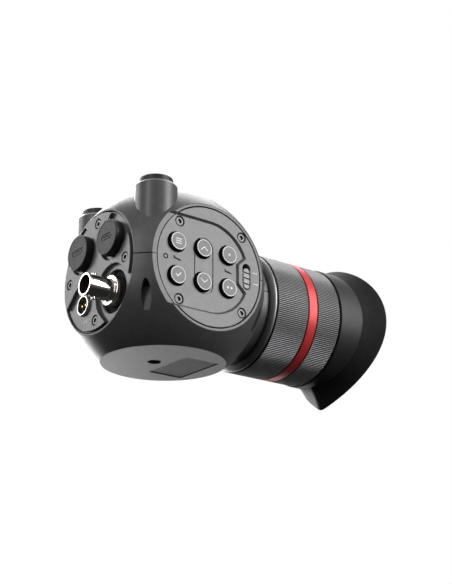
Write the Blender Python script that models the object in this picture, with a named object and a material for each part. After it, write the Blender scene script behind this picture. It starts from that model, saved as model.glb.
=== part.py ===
"""Ball-shaped electronic viewfinder: housing, keypad, port panel, focus tube and eyecup.

Frame: the origin is on the flat base under the ball's centre, +Z up, +Y along the
viewing tube towards the eye, +X out of the keypad face. Units are metres.
"""
import bpy
import bmesh
import math
from mathutils import Matrix, Vector

MM = 0.001
GAP = 0.3 * MM

# ---- driving dimensions ----
BALL_RADIUS = 44.0 * MM
BALL_HEIGHT = 34.5 * MM          # ball centre above the base; the top flat mirrors the base
KEY_FACE = 34.0 * MM             # keypad flat, from the ball's centre; the side cover mirrors it
PORT_FACE = 34.3 * MM            # port panel flat
WALL = 3.5 * MM
FLOOR_WALL = 2.0 * MM            # left behind a panel seat
CAVITY_RADIUS = BALL_RADIUS - 4.0 * MM
SEAM_GAP = 0.3 * MM
CLEAR = 1.0 * MM                 # how far a cutter runs past the face that it cuts
SPAN = 60.0 * MM                 # longer than half the housing

PLATE_RADIUS = 26.5 * MM
SEAT_RADIUS = PLATE_RADIUS + GAP
SEAT_DEPTH = 3.0 * MM
SEAT_OPENING = 23.8 * MM
BOSS_RADIUS = 2.8 * MM
BOSS_LENGTH = 4.0 * MM
PLATE_BACK = SEAT_DEPTH - GAP    # a panel's back, below its face
SCREW_HEAD_RADIUS = 1.9 * MM
SCREW_SHANK_RADIUS = 1.0 * MM
SCREW_LENGTH = 5.6 * MM
SCREW_SUNK = 0.25 * MM           # head below the panel's face
SCREW_HEAD_SEAT = 1.2 * MM
SCREW_HEAD_THICKNESS = 0.85 * MM
SCREW_SOCKET = (0.9 * MM, 0.7 * MM)

KEY_RECESS = 0.9 * MM            # the keypad field lies this far below the rim
KEY_FIELD_RADIUS = 20.2 * MM
KEY_COLUMNS = (-16.9 * MM, -3.65 * MM, 9.6 * MM)
KEY_ROW = 7.45 * MM
KEY_RADIUS = 3.95 * MM
KEY_FLANGE_RADIUS = 4.7 * MM
KEY_PROUD = 1.6 * MM
KEY_FLANGE_THICKNESS = 1.0 * MM
KEY_NOTCH = (8.0 * MM, 4.4 * MM, 14.7 * MM)     # half heights at the rim and at the depth
SIDE_FIELD_RADIUS = 16.2 * MM
KEY_SCREWS = ((-15.4 * MM, 17.2 * MM), (16.6 * MM, 17.2 * MM),
              (16.6 * MM, -17.2 * MM), (-15.4 * MM, -17.2 * MM))
SLIDER_PLACE = (19.2 * MM, -0.25 * MM)
SLIDER_SLOT = (4.0 * MM, 11.6 * MM)
SLIDER_LENGTH = 9.4 * MM
SLIDER_TRAVEL = 1.6 * MM
SLIDER_SUNK = 0.6 * MM
SLIDER_FLANGE = (5.4 * MM, 10.4 * MM, 1.4 * MM)
SLIDER_RIB = (2.6 * MM, 0.8 * MM)
SLIDER_RIB_HEIGHTS = (-1.2 * MM, 0.15 * MM)     # from the plate's face
SLIDER_RIB_PITCH = 2.0 * MM
SLIDER_RIBS = 4
SENSOR_PLACE = (-22.4 * MM, 0.0)
SENSOR_RADIUS = 0.95 * MM

PORT_PROUD = 0.9 * MM            # the port panel's plateau stands out of the rim
PORT_STEP = 1.6 * MM             # depth of the plug channels below the plateau
PLATEAU = PORT_FACE + PORT_PROUD
THROUGH = (20.0 * MM, 40.0 * MM)  # a hole through any panel, from the ball's centre
PORT_PLACES = {"video": (-11.6 * MM, 11.4 * MM), "data": (11.6 * MM, 11.4 * MM),
               "coax": (12.0 * MM, -12.0 * MM), "power": (-11.0 * MM, -12.2 * MM)}
CHANNEL_RADII = {"video": 9.4 * MM, "data": 9.4 * MM, "coax": 11.8 * MM, "power": 9.4 * MM}
PORT_SCREW_CIRCLE = 21.8 * MM
PANEL_LIP = 0.6 * MM
CAP_RADIUS = 7.85 * MM
CAP_PROUD = 3.0 * MM
CAP_EDGE = 0.7 * MM
CAP_PLUG = 4.5 * MM
SOCKETS = {"video": ((14.2 * MM, 5.2 * MM), (13.0 * MM, 4.0 * MM)),
           "data": ((9.2 * MM, 3.4 * MM), (8.2 * MM, 2.4 * MM))}
SOCKET_HOLES = {"video": (15.6 * MM, 6.2 * MM), "data": (9.8 * MM, 4.0 * MM)}
SOCKET_SUNK = 0.2 * MM
SOCKET_LENGTH = 8.0 * MM
SOCKET_DEPTH = 6.5 * MM
COAX_RADIUS = 4.83 * MM
COAX_BORE = 4.05 * MM
COAX_TAIL_BORE = 3.4 * MM
COAX_COLLAR = (6.6 * MM, 5.9 * MM)
COAX_COLLAR_HEIGHTS = (1.2 * MM, 2.0 * MM)      # above the plateau
COAX_TAIL = 4.0 * MM
COAX_PROUD = 12.8 * MM
COAX_WELL_RADIUS = 9.2 * MM
COAX_INSULATOR = (3.1 * MM, 2.4 * MM, 1.0 * MM)
COAX_LUG = (1.0 * MM, 4.4 * MM, 0.9 * MM)       # radius, inner end, reach past the barrel
COAX_LUG_SET_BACK = 4.5 * MM
COAX_PIN_RADIUS = 0.7 * MM
POWER_RADIUS = 4.45 * MM
POWER_WALL = 0.8 * MM
POWER_PROUD = 1.3 * MM
POWER_INSERT_SUNK = 2.2 * MM
POWER_PIN = (0.5 * MM, 1.3 * MM)                # radius, offset from the middle

POST_PLACE = (23.0 * MM, -21.0 * MM)
POST_RADIUS = 9.2 * MM
POST_TOP = 35.6 * MM             # above the ball's centre
POST_FOOT = 8.0 * MM
POST_EDGE = 1.5 * MM
PAD_RADIUS = 7.3 * MM
PAD_TOP = 38.0 * MM
PAD_SEAT = 1.0 * MM
PAD_EDGE = 0.5 * MM
POST_INSERT_RADIUS = 3.9 * MM
POST_INSERT = (30.5 * MM, 35.2 * MM)
POST_HOLE_START = 24.0 * MM
THREAD_RADIUS = 2.6 * MM         # quarter-inch camera screw, minor radius

TRIPOD_HOLE_Y = -4.5 * MM
TRIPOD_HOLE_RADIUS = 2.85 * MM
TRIPOD_INSERT_RADIUS = 4.9 * MM
TRIPOD_INSERT = (1.8 * MM, 10.2 * MM)
TRIPOD_BOSS = (7.5 * MM, 2.0 * MM, 10.5 * MM)   # radius, low, high
LABEL_CENTRE_Y = 10.8 * MM
LABEL_SIZE = (28.0 * MM, 17.0 * MM)
LABEL_RECESS = 0.9 * MM
LABEL_FILM = 0.3 * MM
VENT_ANGLES = (45.0, 135.0, 225.0, 315.0)
VENT_SIZE = (4.2 * MM, 11.4 * MM)
VENT_HEIGHT = -17.0 * MM
VENT_DEPTH = 2.6 * MM

TUBE_DROP = 2.9 * MM             # tube axis below the ball's centre
NECK_RADIUS = 24.4 * MM
NECK_START = 26.0 * MM
NECK_END = 39.4 * MM
NECK_BORE_START = 20.0 * MM
BARREL_RADIUS = 21.0 * MM
BARREL_BORE = 19.0 * MM
BARREL_FLANGE = 22.1 * MM
BARREL_FLANGE_THICKNESS = 1.6 * MM
BARREL_START = 29.2 * MM
BARREL_END = 78.0 * MM
INDEX_RING = (39.7 * MM, 41.8 * MM)
INDEX_RADII = (24.4 * MM, 27.3 * MM)
INDEX_EDGE = (0.4 * MM, 0.7 * MM)
FRONT_GRIP = (42.2 * MM, 60.0 * MM)
RED_RING = (60.3 * MM, 65.1 * MM)
REAR_GRIP = (65.4 * MM, 78.9 * MM)
GRIP_RADIUS = 27.8 * MM
SLEEVE_RADIUS = 24.2 * MM
EYE_RING = (79.2 * MM, 88.5 * MM)
EYE_RING_RADIUS = 25.6 * MM
EYE_RING_BORES = (17.0 * MM, 20.0 * MM, 21.0 * MM)
EYE_WINDOW_SEAT = 82.2 * MM
EYE_WINDOW_RADIUS = 18.6 * MM
CARRIER = (44.0 * MM, 66.0 * MM)
CARRIER_RADIUS = 18.6 * MM
CARRIER_BORE = 16.4 * MM
LENS_RADIUS = 16.0 * MM
RETAINER = (63.6 * MM, 65.4 * MM)
RETAINER_BORE = 14.2 * MM
# start, edge thickness, front bulge, rear bulge
FRONT_LENS = (46.6 * MM, 6.0 * MM, 2.2 * MM, 1.8 * MM)
REAR_LENS = (57.0 * MM, 5.5 * MM, 1.6 * MM, -0.6 * MM)
EYE_WINDOW = (82.6 * MM, 1.6 * MM, 0.0, 1.2 * MM)

CUP_START = 79.5 * MM
CUP_BASE_RADIUS = 28.2 * MM
CUP_WALL = 1.8 * MM
CUP_FLARE_START = 90.0 * MM
CUP_RIM_RADIUS = 31.9 * MM
CUP_RIM_HEIGHT = 99.2 * MM
CUP_TIP_REACH = 4.4 * MM
CUP_TIP_WIDTH = 0.2              # radians
CUP_TIP_ROUND = 0.06             # radians
CUP_TIP_LOWERS = (3.6 * MM, 3.0 * MM)           # how far the tip pulls the rim and the flare back
CUP_OFF_CENTRE = (1.2 * MM, 0.3 * MM)           # rim radius and height, bottom against top
CUP_SADDLE = (4.8 * MM, 2.6 * MM)               # rim and flare heights, sides against top
CUP_LOBES = (0.35 * MM, 0.8 * MM)                # rim radius, across and three-lobed
CUP_ANGLES = 48
CUP_FLARE_ROWS = 3

DISPLAY_Y = 27.2 * MM
DISPLAY_SIZE = (34.0 * MM, 2.0 * MM, 26.0 * MM)
DISPLAY_FRAME_Y = 26.2 * MM
DISPLAY_FRAME_SIZE = (38.6 * MM, 4.4 * MM, 30.6 * MM)
MAIN_BOARD = ((44.0 * MM, 38.0 * MM, 1.6 * MM), (0.0, 0.5 * MM, 19.5 * MM))     # size, centre
PORT_BOARD = ((34.0 * MM, 1.6 * MM, 26.0 * MM), (0.0, -22.4 * MM, 36.0 * MM))
KEY_BOARD = ((1.2 * MM, 36.0 * MM, 28.0 * MM), (27.6 * MM, 0.0, 34.5 * MM))

RING_STEPS = 36
INNER_STEPS = 24
PAD_STEPS = 20
KEY_STEPS = 16
SMALL_STEPS = 12
HOLE_STEPS = 8

CENTRE = Vector((0.0, 0.0, BALL_HEIGHT))
AXIS_HEIGHT = BALL_HEIGHT - TUBE_DROP
X = Vector((1, 0, 0))
Y = Vector((0, 1, 0))
Z = Vector((0, 0, 1))


# ---- frames ----
def frame(x_axis, y_axis, z_axis, origin):
    """Matrix that puts local x, y and z along the given world axes at origin."""
    turn = Matrix((x_axis, y_axis, z_axis)).transposed().to_4x4()
    return Matrix.Translation(origin) @ turn


KEY = frame(Y, Z, X, CENTRE)            # local z = distance from the ball's centre
PORT = frame(X, Z, -Y, CENTRE)
SIDE = frame(-Y, Z, -X, CENTRE)
TOP = frame(X, Y, Z, CENTRE)
BASE = frame(X, Y, Z, Vector((0, 0, 0)))
TUBE = frame(X, -Z, Y, Vector((0, 0, AXIS_HEIGHT)))


# ---- materials ----
def material(name, colour, roughness, metallic=0.0):
    mat = bpy.data.materials.new(name)
    mat.use_nodes = True
    shader = mat.node_tree.nodes["Principled BSDF"]
    shader.inputs["Base Color"].default_value = (*colour, 1.0)
    shader.inputs["Roughness"].default_value = roughness
    shader.inputs["Metallic"].default_value = metallic
    mat.diffuse_color = (*colour, 1.0)
    return mat


# ---- mesh helpers ----
def finish(name, bm, mat, place):
    """Turn a bmesh into a linked, smooth-shaded object at the given frame."""
    bmesh.ops.remove_doubles(bm, verts=bm.verts, dist=1e-7)
    bmesh.ops.dissolve_degenerate(bm, edges=bm.edges, dist=1e-8)
    bmesh.ops.recalc_face_normals(bm, faces=bm.faces)
    mesh = bpy.data.meshes.new(name)
    bm.to_mesh(mesh)
    bm.free()
    mesh.shade_smooth()
    mesh.set_sharp_from_angle(angle=math.radians(30))
    obj = bpy.data.objects.new(name, mesh)
    obj.matrix_world = place
    bpy.context.collection.objects.link(obj)
    if mat is not None:
        mesh.materials.append(mat)
    return obj


def turned(name, profile, mat, place, steps=RING_STEPS):
    """Solid of revolution: the profile's (radius, height) points go round local z.

    A profile that starts and ends on the axis is closed by a flat cap at each end.
    """
    points = [point for point in profile if point[0] > 0.0]
    bm = bmesh.new()
    verts = [bm.verts.new((r, 0.0, h)) for r, h in points]
    edges = [bm.edges.new(pair) for pair in zip(verts, verts[1:])]
    if len(points) == len(profile):
        edges.append(bm.edges.new((verts[-1], verts[0])))
    bmesh.ops.spin(bm, geom=verts + edges, cent=(0, 0, 0), axis=(0, 0, 1),
                   angle=math.tau, steps=steps, use_merge=True)
    bmesh.ops.holes_fill(bm, edges=[e for e in bm.edges if e.is_boundary])
    return finish(name, bm, mat, place)


def disc(name, radius, low, high, mat, place, steps=RING_STEPS, centre=(0.0, 0.0)):
    """Plain solid cylinder between two heights."""
    shifted = place @ Matrix.Translation((centre[0], centre[1], 0.0))
    return turned(name, [(0.0, low), (radius, low), (radius, high), (0.0, high)],
                  mat, shifted, steps)


def ring(name, inner, outer, low, high, mat, place, steps=RING_STEPS):
    """Plain tube section."""
    return turned(name, [(inner, low), (outer, low), (outer, high), (inner, high)], mat, place,
                  steps)


def prism(name, outline, low, high, mat, place):
    """Straight extrusion of a flat outline along local z."""
    bm = bmesh.new()
    face = bm.faces.new([bm.verts.new((x, y, low)) for x, y in outline])
    grown = bmesh.ops.extrude_face_region(bm, geom=[face])
    moved = [v for v in grown["geom"] if isinstance(v, bmesh.types.BMVert)]
    bmesh.ops.translate(bm, verts=moved, vec=(0, 0, high - low))
    return finish(name, bm, mat, place)


def arc(centre, radius, start, end, count):
    """Points on an arc, angles in degrees, both ends included."""
    points = []
    for i in range(count + 1):
        angle = math.radians(start + (end - start) * i / count)
        points.append((centre[0] + radius * math.cos(angle),
                       centre[1] + radius * math.sin(angle)))
    return points


def stadium(centre, width, height, steps=8):
    """Upright slot outline with round ends."""
    radius = width / 2
    rise = height / 2 - radius
    top = arc((centre[0], centre[1] + rise), radius, 0, 180, steps)
    bottom = arc((centre[0], centre[1] - rise), radius, 180, 360, steps)
    return top + bottom


def rectangle(centre, width, height):
    x, y = centre
    return [(x - width / 2, y - height / 2), (x + width / 2, y - height / 2),
            (x + width / 2, y + height / 2), (x - width / 2, y + height / 2)]


def box(name, size, centre, mat):
    """Block in world axes."""
    outline = rectangle((centre[0], centre[1]), size[0], size[1])
    return prism(name, outline, centre[2] - size[2] / 2, centre[2] + size[2] / 2, mat, BASE)


def clipped_ball(name, radius, flats, mat=None):
    """Ball with flat faces: each flat is (outward axis, distance from the centre)."""
    bm = bmesh.new()
    bmesh.ops.create_uvsphere(bm, u_segments=RING_STEPS, v_segments=RING_STEPS // 2,
                              radius=radius)
    for axis, distance in flats:
        geometry = bm.verts[:] + bm.edges[:] + bm.faces[:]
        result = bmesh.ops.bisect_plane(bm, geom=geometry, plane_co=axis * distance,
                                        plane_no=axis, clear_outer=True, dist=1e-7)
        rim = [e for e in result["geom_cut"] if isinstance(e, bmesh.types.BMEdge)]
        bmesh.ops.holes_fill(bm, edges=rim)
    return finish(name, bm, mat, TOP)


def combine(target, tools, operation):
    """One Boolean with a group of hidden tool objects."""
    group = bpy.data.collections.new(f"{target.name}_tools_{len(target.modifiers)}")
    for tool in tools:
        tool.hide_render = True
        tool.display_type = "WIRE"
        group.objects.link(tool)
    modifier = target.modifiers.new(group.name, "BOOLEAN")
    modifier.operation = operation
    modifier.solver = "EXACT"
    modifier.operand_type = "COLLECTION"
    modifier.collection = group


def cut(target, tools):
    combine(target, tools, "DIFFERENCE")


def add(target, tools):
    combine(target, tools, "UNION")


# ---- shared layouts ----
def port_screw_places():
    return [(PORT_SCREW_CIRCLE * math.cos(math.radians(a)),
             PORT_SCREW_CIRCLE * math.sin(math.radians(a))) for a in (90, 0, 270, 180)]


FACES = {
    "key": (KEY, KEY_FACE, KEY_SCREWS),
    "side": (SIDE, KEY_FACE, KEY_SCREWS),
    "port": (PORT, PORT_FACE, port_screw_places()),
}


def moved(place, centre):
    """The same frame with its origin at a point of its local x-y plane."""
    return place @ Matrix.Translation((centre[0], centre[1], 0.0))


def seat_tools(face):
    """Cutters and bosses of one panel seat in the housing."""
    place, front, screws = FACES[face]
    floor = front - SEAT_DEPTH
    past = front + WALL
    pocket = disc(f"{face}_seat_cut", SEAT_RADIUS, floor, past, None, place)
    opening = disc(f"{face}_opening_cut", SEAT_OPENING, floor - WALL, past, None, place)
    bosses = []
    holes = []
    for i, centre in enumerate(screws):
        bosses.append(disc(f"{face}_boss_{i}", BOSS_RADIUS, floor - BOSS_LENGTH, floor + CLEAR,
                           None, place, SMALL_STEPS, centre))
        holes.append(disc(f"{face}_boss_hole_{i}", SCREW_SHANK_RADIUS + GAP,
                          floor - BOSS_LENGTH - CLEAR, past, None, place, HOLE_STEPS, centre))
    return pocket, opening, bosses, holes


def vent_tools():
    """Four upright blind slots below the seam, at the corners between the flats."""
    tools = []
    surface = math.sqrt(BALL_RADIUS ** 2 - VENT_HEIGHT ** 2)
    outline = stadium((0.0, VENT_HEIGHT), *VENT_SIZE)
    for i, angle in enumerate(VENT_ANGLES):
        turn = math.radians(angle)
        out = Vector((math.cos(turn), math.sin(turn), 0.0))
        side = Vector((-math.sin(turn), math.cos(turn), 0.0))
        tools.append(prism(f"vent_cut_{i}", outline, surface - VENT_DEPTH, SPAN, None,
                           frame(side, Z, out, CENTRE)))
    return tools


# ---- housing ----
def build_housing(body):
    flats = [(X, KEY_FACE), (-X, KEY_FACE), (-Y, PORT_FACE), (Y, NECK_END - 0.1 * MM),
             (Z, BALL_HEIGHT), (-Z, BALL_HEIGHT)]
    inner_flats = [(axis, distance - SEAT_DEPTH - FLOOR_WALL) for axis, distance in flats[:3]]
    inner_flats += [(axis, distance - WALL) for axis, distance in flats[4:]]
    cavity = clipped_ball("cavity_cut", CAVITY_RADIUS, inner_flats)
    neck = disc("neck_add", NECK_RADIUS, NECK_START, NECK_END, None, TUBE)
    bore = disc("neck_bore_cut", BARREL_RADIUS + GAP, NECK_BORE_START, SPAN, None, TUBE)
    seats = [seat_tools(face) for face in FACES]
    openings = [opening for _, opening, _, _ in seats]
    bosses = [boss for seat in seats for boss in seat[2]]
    pockets = [pocket for pocket, _, _, _ in seats] + [hole for seat in seats for hole in seat[3]]
    step = rectangle((-SPAN / 2, 0.0), SPAN, 2 * KEY_FIELD_RADIUS)
    pockets.append(prism("key_step_cut", step, KEY_FACE - KEY_RECESS, KEY_FACE + WALL, None, KEY))

    for name, side in (("upper_shell", 1), ("lower_shell", -1)):
        half = prism(f"{name}_half_cut", rectangle((0.0, 0.0), 2 * SPAN, 2 * SPAN),
                     -side * SPAN, side * SEAM_GAP / 2, None, TOP)
        outside = [neck] + (post_bodies() if side > 0 else [])
        inside = bosses + ([] if side > 0 else [tripod_boss()])
        details = post_cutters() if side > 0 else base_cutters() + vent_tools()
        shell = clipped_ball(name, BALL_RADIUS, flats, body)
        add(shell, outside)
        cut(shell, [cavity, bore] + openings)
        add(shell, inside)
        cut(shell, pockets + [half] + details)


def post_places():
    return {"left": (-POST_PLACE[0], POST_PLACE[1]), "right": POST_PLACE}


def post_bodies():
    profile = [(0.0, POST_FOOT), (POST_RADIUS, POST_FOOT), (POST_RADIUS, POST_TOP - POST_EDGE),
               (POST_RADIUS - POST_EDGE, POST_TOP), (0.0, POST_TOP)]
    return [turned(f"post_{name}_add", profile, None, moved(TOP, centre), INNER_STEPS)
            for name, centre in post_places().items()]


def post_cutters():
    tools = []
    for name, centre in post_places().items():
        tools.append(disc(f"pad_seat_{name}_cut", PAD_RADIUS + GAP, POST_TOP - PAD_SEAT,
                          POST_TOP + WALL, None, TOP, INNER_STEPS, centre))
        tools.append(disc(f"post_hole_{name}_cut", POST_INSERT_RADIUS + GAP, POST_HOLE_START,
                          POST_TOP + CLEAR, None, TOP, SMALL_STEPS, centre))
    return tools


def tripod_boss():
    return disc("tripod_boss_add", *TRIPOD_BOSS, None, BASE, INNER_STEPS, (0.0, TRIPOD_HOLE_Y))


def base_cutters():
    hole = (0.0, TRIPOD_HOLE_Y)
    low, high = TRIPOD_INSERT
    return [
        disc("tripod_hole_cut", TRIPOD_HOLE_RADIUS, -CLEAR, low + CLEAR, None, BASE,
             INNER_STEPS, hole),
        disc("insert_hole_cut", TRIPOD_INSERT_RADIUS + GAP, low - GAP, high + CLEAR, None, BASE,
             INNER_STEPS, hole),
        prism("label_cut", rectangle((0.0, LABEL_CENTRE_Y), *LABEL_SIZE), -CLEAR, LABEL_RECESS,
              None, BASE),
    ]


# ---- keypad face ----
def key_field_outline():
    """Recessed key field: straight to the port side, round to the tube, notched at the switch."""
    radius = KEY_FIELD_RADIUS
    notch_rim, notch_mid, notch_depth = KEY_NOTCH
    corner = math.degrees(math.asin(notch_rim / radius))
    outline = [(-SPAN, radius)]
    outline += arc((0.0, 0.0), radius, 90, corner, 8)
    outline += [(notch_depth, notch_mid), (notch_depth, -notch_mid)]
    outline += arc((0.0, 0.0), radius, -corner, -90, 8)
    outline += [(-SPAN, -radius)]
    return outline


def key_places():
    names = (("menu_button", 0, 1), ("ok_button", 0, -1), ("up_button", 1, 1),
             ("down_button", 1, -1), ("function_button_1", 2, 1), ("function_button_2", 2, -1))
    return {name: (KEY_COLUMNS[column], side * KEY_ROW) for name, column, side in names}


def screw_cutters(face, front_of):
    """Head recess and shank hole for each of a panel's screws."""
    place, _, screws = FACES[face]
    tools = []
    for i, centre in enumerate(screws):
        front = front_of(i)
        tools.append(disc(f"{face}_head_cut_{i}", SCREW_HEAD_RADIUS + GAP,
                          front - SCREW_HEAD_SEAT, front + WALL, None, place,
                          SMALL_STEPS, centre))
        tools.append(disc(f"{face}_shank_cut_{i}", SCREW_SHANK_RADIUS + GAP, THROUGH[0],
                          front + CLEAR, None, place, HOLE_STEPS, centre))
    return tools


def build_screws(face, front_of, mat):
    place, _, screws = FACES[face]
    socket_radius, socket_depth = SCREW_SOCKET
    for i, centre in enumerate(screws):
        top = front_of(i) - SCREW_SUNK
        under = top - SCREW_HEAD_THICKNESS
        profile = [(0.0, top - SCREW_LENGTH), (SCREW_SHANK_RADIUS, top - SCREW_LENGTH),
                   (SCREW_SHANK_RADIUS, under), (SCREW_HEAD_RADIUS, under),
                   (SCREW_HEAD_RADIUS, top), (socket_radius, top),
                   (socket_radius, top - socket_depth), (0.0, top - socket_depth)]
        turned(f"{face}_screw_{i + 1}", profile, mat, moved(place, centre), HOLE_STEPS)


def key_screw_front(i):
    """Two of the keypad's screws sit in the recessed field, two on the raised crescent."""
    return KEY_FACE - (KEY_RECESS if KEY_SCREWS[i][0] < 0 else 0.0)


def side_screw_front(i):
    return KEY_FACE


def port_screw_front(i):
    return PORT_FACE + PORT_PROUD


def build_keypad(plate_mat, key_mat, steel):
    back = KEY_FACE - PLATE_BACK
    field = KEY_FACE - KEY_RECESS
    past = KEY_FACE + CLEAR
    plate = disc("key_plate", PLATE_RADIUS, back, KEY_FACE, plate_mat, KEY)
    tools = [prism("key_field_cut", key_field_outline(), field, past, None, KEY),
             prism("slot_cut", stadium(SLIDER_PLACE, *SLIDER_SLOT), THROUGH[0], past, None, KEY),
             disc("sensor_cut", SENSOR_RADIUS, field - CLEAR, past, None, KEY, SMALL_STEPS,
                  SENSOR_PLACE)]
    for name, centre in key_places().items():
        tools.append(disc(f"{name}_cut", KEY_RADIUS + GAP, THROUGH[0], past, None, KEY,
                          KEY_STEPS, centre))
    cut(plate, tools + screw_cutters("key", key_screw_front))
    build_screws("key", key_screw_front, steel)

    top = field + KEY_PROUD
    flange = back - GAP
    edge = GAP
    profile = [(0.0, flange - KEY_FLANGE_THICKNESS),
               (KEY_FLANGE_RADIUS, flange - KEY_FLANGE_THICKNESS), (KEY_FLANGE_RADIUS, flange),
               (KEY_RADIUS, flange), (KEY_RADIUS, top - edge), (KEY_RADIUS - edge, top),
               (0.0, top)]
    for name, centre in key_places().items():
        turned(name, profile, key_mat, moved(KEY, centre), KEY_STEPS)
    build_slider(key_mat, back)


def build_slider(mat, back):
    """Two-position switch: ribbed thumb piece over a flange that runs behind the plate."""
    y, z = SLIDER_PLACE
    rest = z - SLIDER_TRAVEL / 2
    width, length, thickness = SLIDER_FLANGE
    thumb = stadium((y, rest), SLIDER_SLOT[0] - 2 * GAP, SLIDER_LENGTH)
    slider = prism("lock_slider", thumb, back - thickness + GAP, KEY_FACE - SLIDER_SUNK, mat,
                   KEY)
    flange = prism("slider_flange_add", rectangle((y, rest), width, length), back - thickness,
                   back - GAP, None, KEY)
    ribs = []
    for i in range(SLIDER_RIBS):
        height = rest + SLIDER_RIB_PITCH * (i - (SLIDER_RIBS - 1) / 2)
        low, high = (KEY_FACE + edge for edge in SLIDER_RIB_HEIGHTS)
        ribs.append(prism(f"slider_rib_add_{i}", rectangle((y, height), *SLIDER_RIB), low, high,
                          None, KEY))
    add(slider, [flange] + ribs)


def build_side_cover(mat, steel):
    """Blank cover on the side opposite the keypad."""
    plate = disc("side_cover", PLATE_RADIUS, KEY_FACE - PLATE_BACK, KEY_FACE, mat, SIDE)
    field = disc("side_field_cut", SIDE_FIELD_RADIUS, KEY_FACE - KEY_RECESS, KEY_FACE + WALL,
                 None, SIDE)
    cut(plate, [field] + screw_cutters("side", side_screw_front))
    build_screws("side", side_screw_front, steel)


# ---- port face ----
def channel_outline(name):
    """Round pocket that opens outwards across the panel's edge, at 45 degrees."""
    x, y = PORT_PLACES[name]
    heading = math.degrees(math.atan2(math.copysign(1, y), math.copysign(1, x)))
    points = arc((x, y), CHANNEL_RADII[name], heading + 90, heading + 270, 12)
    out_x = SPAN / 2 * math.cos(math.radians(heading))
    out_y = SPAN / 2 * math.sin(math.radians(heading))
    first = (points[0][0] + out_x, points[0][1] + out_y)
    last = (points[-1][0] + out_x, points[-1][1] + out_y)
    return [first] + points + [last]


def build_port_panel(mat, steel):
    floor = PLATEAU - PORT_STEP
    back = PORT_FACE - PLATE_BACK
    lip = floor - 0.1 * MM
    profile = [(0.0, back), (PLATE_RADIUS, back), (PLATE_RADIUS, lip),
               (PLATE_RADIUS - PANEL_LIP, lip), (PLATE_RADIUS - PANEL_LIP, PLATEAU),
               (0.0, PLATEAU)]
    panel = turned("port_panel", profile, mat, PORT)
    tools = [prism(f"{name}_channel_cut", channel_outline(name), floor, PLATEAU + CLEAR, None,
                   PORT) for name in PORT_PLACES]
    tools += [prism(f"{name}_hole_cut", rectangle(PORT_PLACES[name], *size), *THROUGH, None, PORT)
              for name, size in SOCKET_HOLES.items()]
    tools.append(disc("coax_well_cut", COAX_WELL_RADIUS, *THROUGH, None, PORT, INNER_STEPS,
                      PORT_PLACES["coax"]))
    tools.append(disc("power_hole_cut", POWER_RADIUS + GAP, *THROUGH, None, PORT, INNER_STEPS,
                      PORT_PLACES["power"]))
    cut(panel, tools + screw_cutters("port", port_screw_front))
    build_screws("port", port_screw_front, steel)


def build_capped_socket(name, rubber, steel):
    """Metal socket shell behind the panel and the round rubber cap whose plug fills it."""
    floor = PLATEAU - PORT_STEP
    front = floor - SOCKET_SUNK
    centre = PORT_PLACES[name]
    size, mouth = SOCKETS[name]
    body = prism(f"{name}_socket", rectangle(centre, *size), front - SOCKET_LENGTH, front, steel,
                 PORT)
    cut(body, [prism(f"{name}_mouth_cut", rectangle(centre, *mouth), front - SOCKET_DEPTH,
                     front + CLEAR, None, PORT)])
    foot = floor + GAP
    top = PLATEAU + CAP_PROUD
    profile = [(0.0, foot), (CAP_RADIUS - CAP_EDGE, foot), (CAP_RADIUS, foot + CAP_EDGE),
               (CAP_RADIUS, top - CAP_EDGE), (CAP_RADIUS - CAP_EDGE, top), (0.0, top)]
    cap = turned(f"{name}_cap", profile, rubber, moved(PORT, centre), INNER_STEPS)
    plug = rectangle(centre, mouth[0] - 2 * GAP, mouth[1] - 2 * GAP)
    add(cap, [prism(f"{name}_plug_add", plug, front - CAP_PLUG, foot + CLEAR, None, PORT)])


def build_coax(nickel, black, gold):
    """Bayonet jack: barrel with two lugs on a wider collar, insulator and pin inside."""
    place = moved(PORT, PORT_PLACES["coax"])
    front = PLATEAU + COAX_PROUD
    foot = PORT_FACE - PLATE_BACK - COAX_TAIL
    edge = GAP
    collar, collar_top = COAX_COLLAR
    low, high = (PLATEAU + height for height in COAX_COLLAR_HEIGHTS)
    profile = [(COAX_TAIL_BORE, foot), (collar, foot), (collar, low), (collar_top, high),
               (COAX_RADIUS, high), (COAX_RADIUS, front - edge), (COAX_RADIUS - edge, front),
               (COAX_BORE, front), (COAX_BORE, PLATEAU), (COAX_TAIL_BORE, PLATEAU)]
    jack = turned("coax_jack", profile, nickel, place, INNER_STEPS)
    lug_radius, lug_start, lug_reach = COAX_LUG
    lugs = []
    for side in (1, -1):
        lug_place = place @ Matrix.Translation((0.0, 0.0, front - COAX_LUG_SET_BACK)) \
            @ Matrix.Rotation(math.radians(-90 * side), 4, "X")
        lugs.append(disc(f"coax_lug_add_{side}", lug_radius, lug_start, COAX_RADIUS + lug_reach,
                         None, lug_place, HOLE_STEPS))
    add(jack, lugs)
    outer, nose, hole = COAX_INSULATOR
    step = front - COAX_LUG_SET_BACK
    seat = step - 3.5 * MM
    turned("coax_insulator", [(hole, foot), (outer, foot), (outer, step), (nose, step),
                              (nose, seat), (hole, seat)], black, place, INNER_STEPS)
    disc("coax_pin", COAX_PIN_RADIUS, foot - CLEAR, step - 0.5 * MM, gold, place, SMALL_STEPS)


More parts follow.
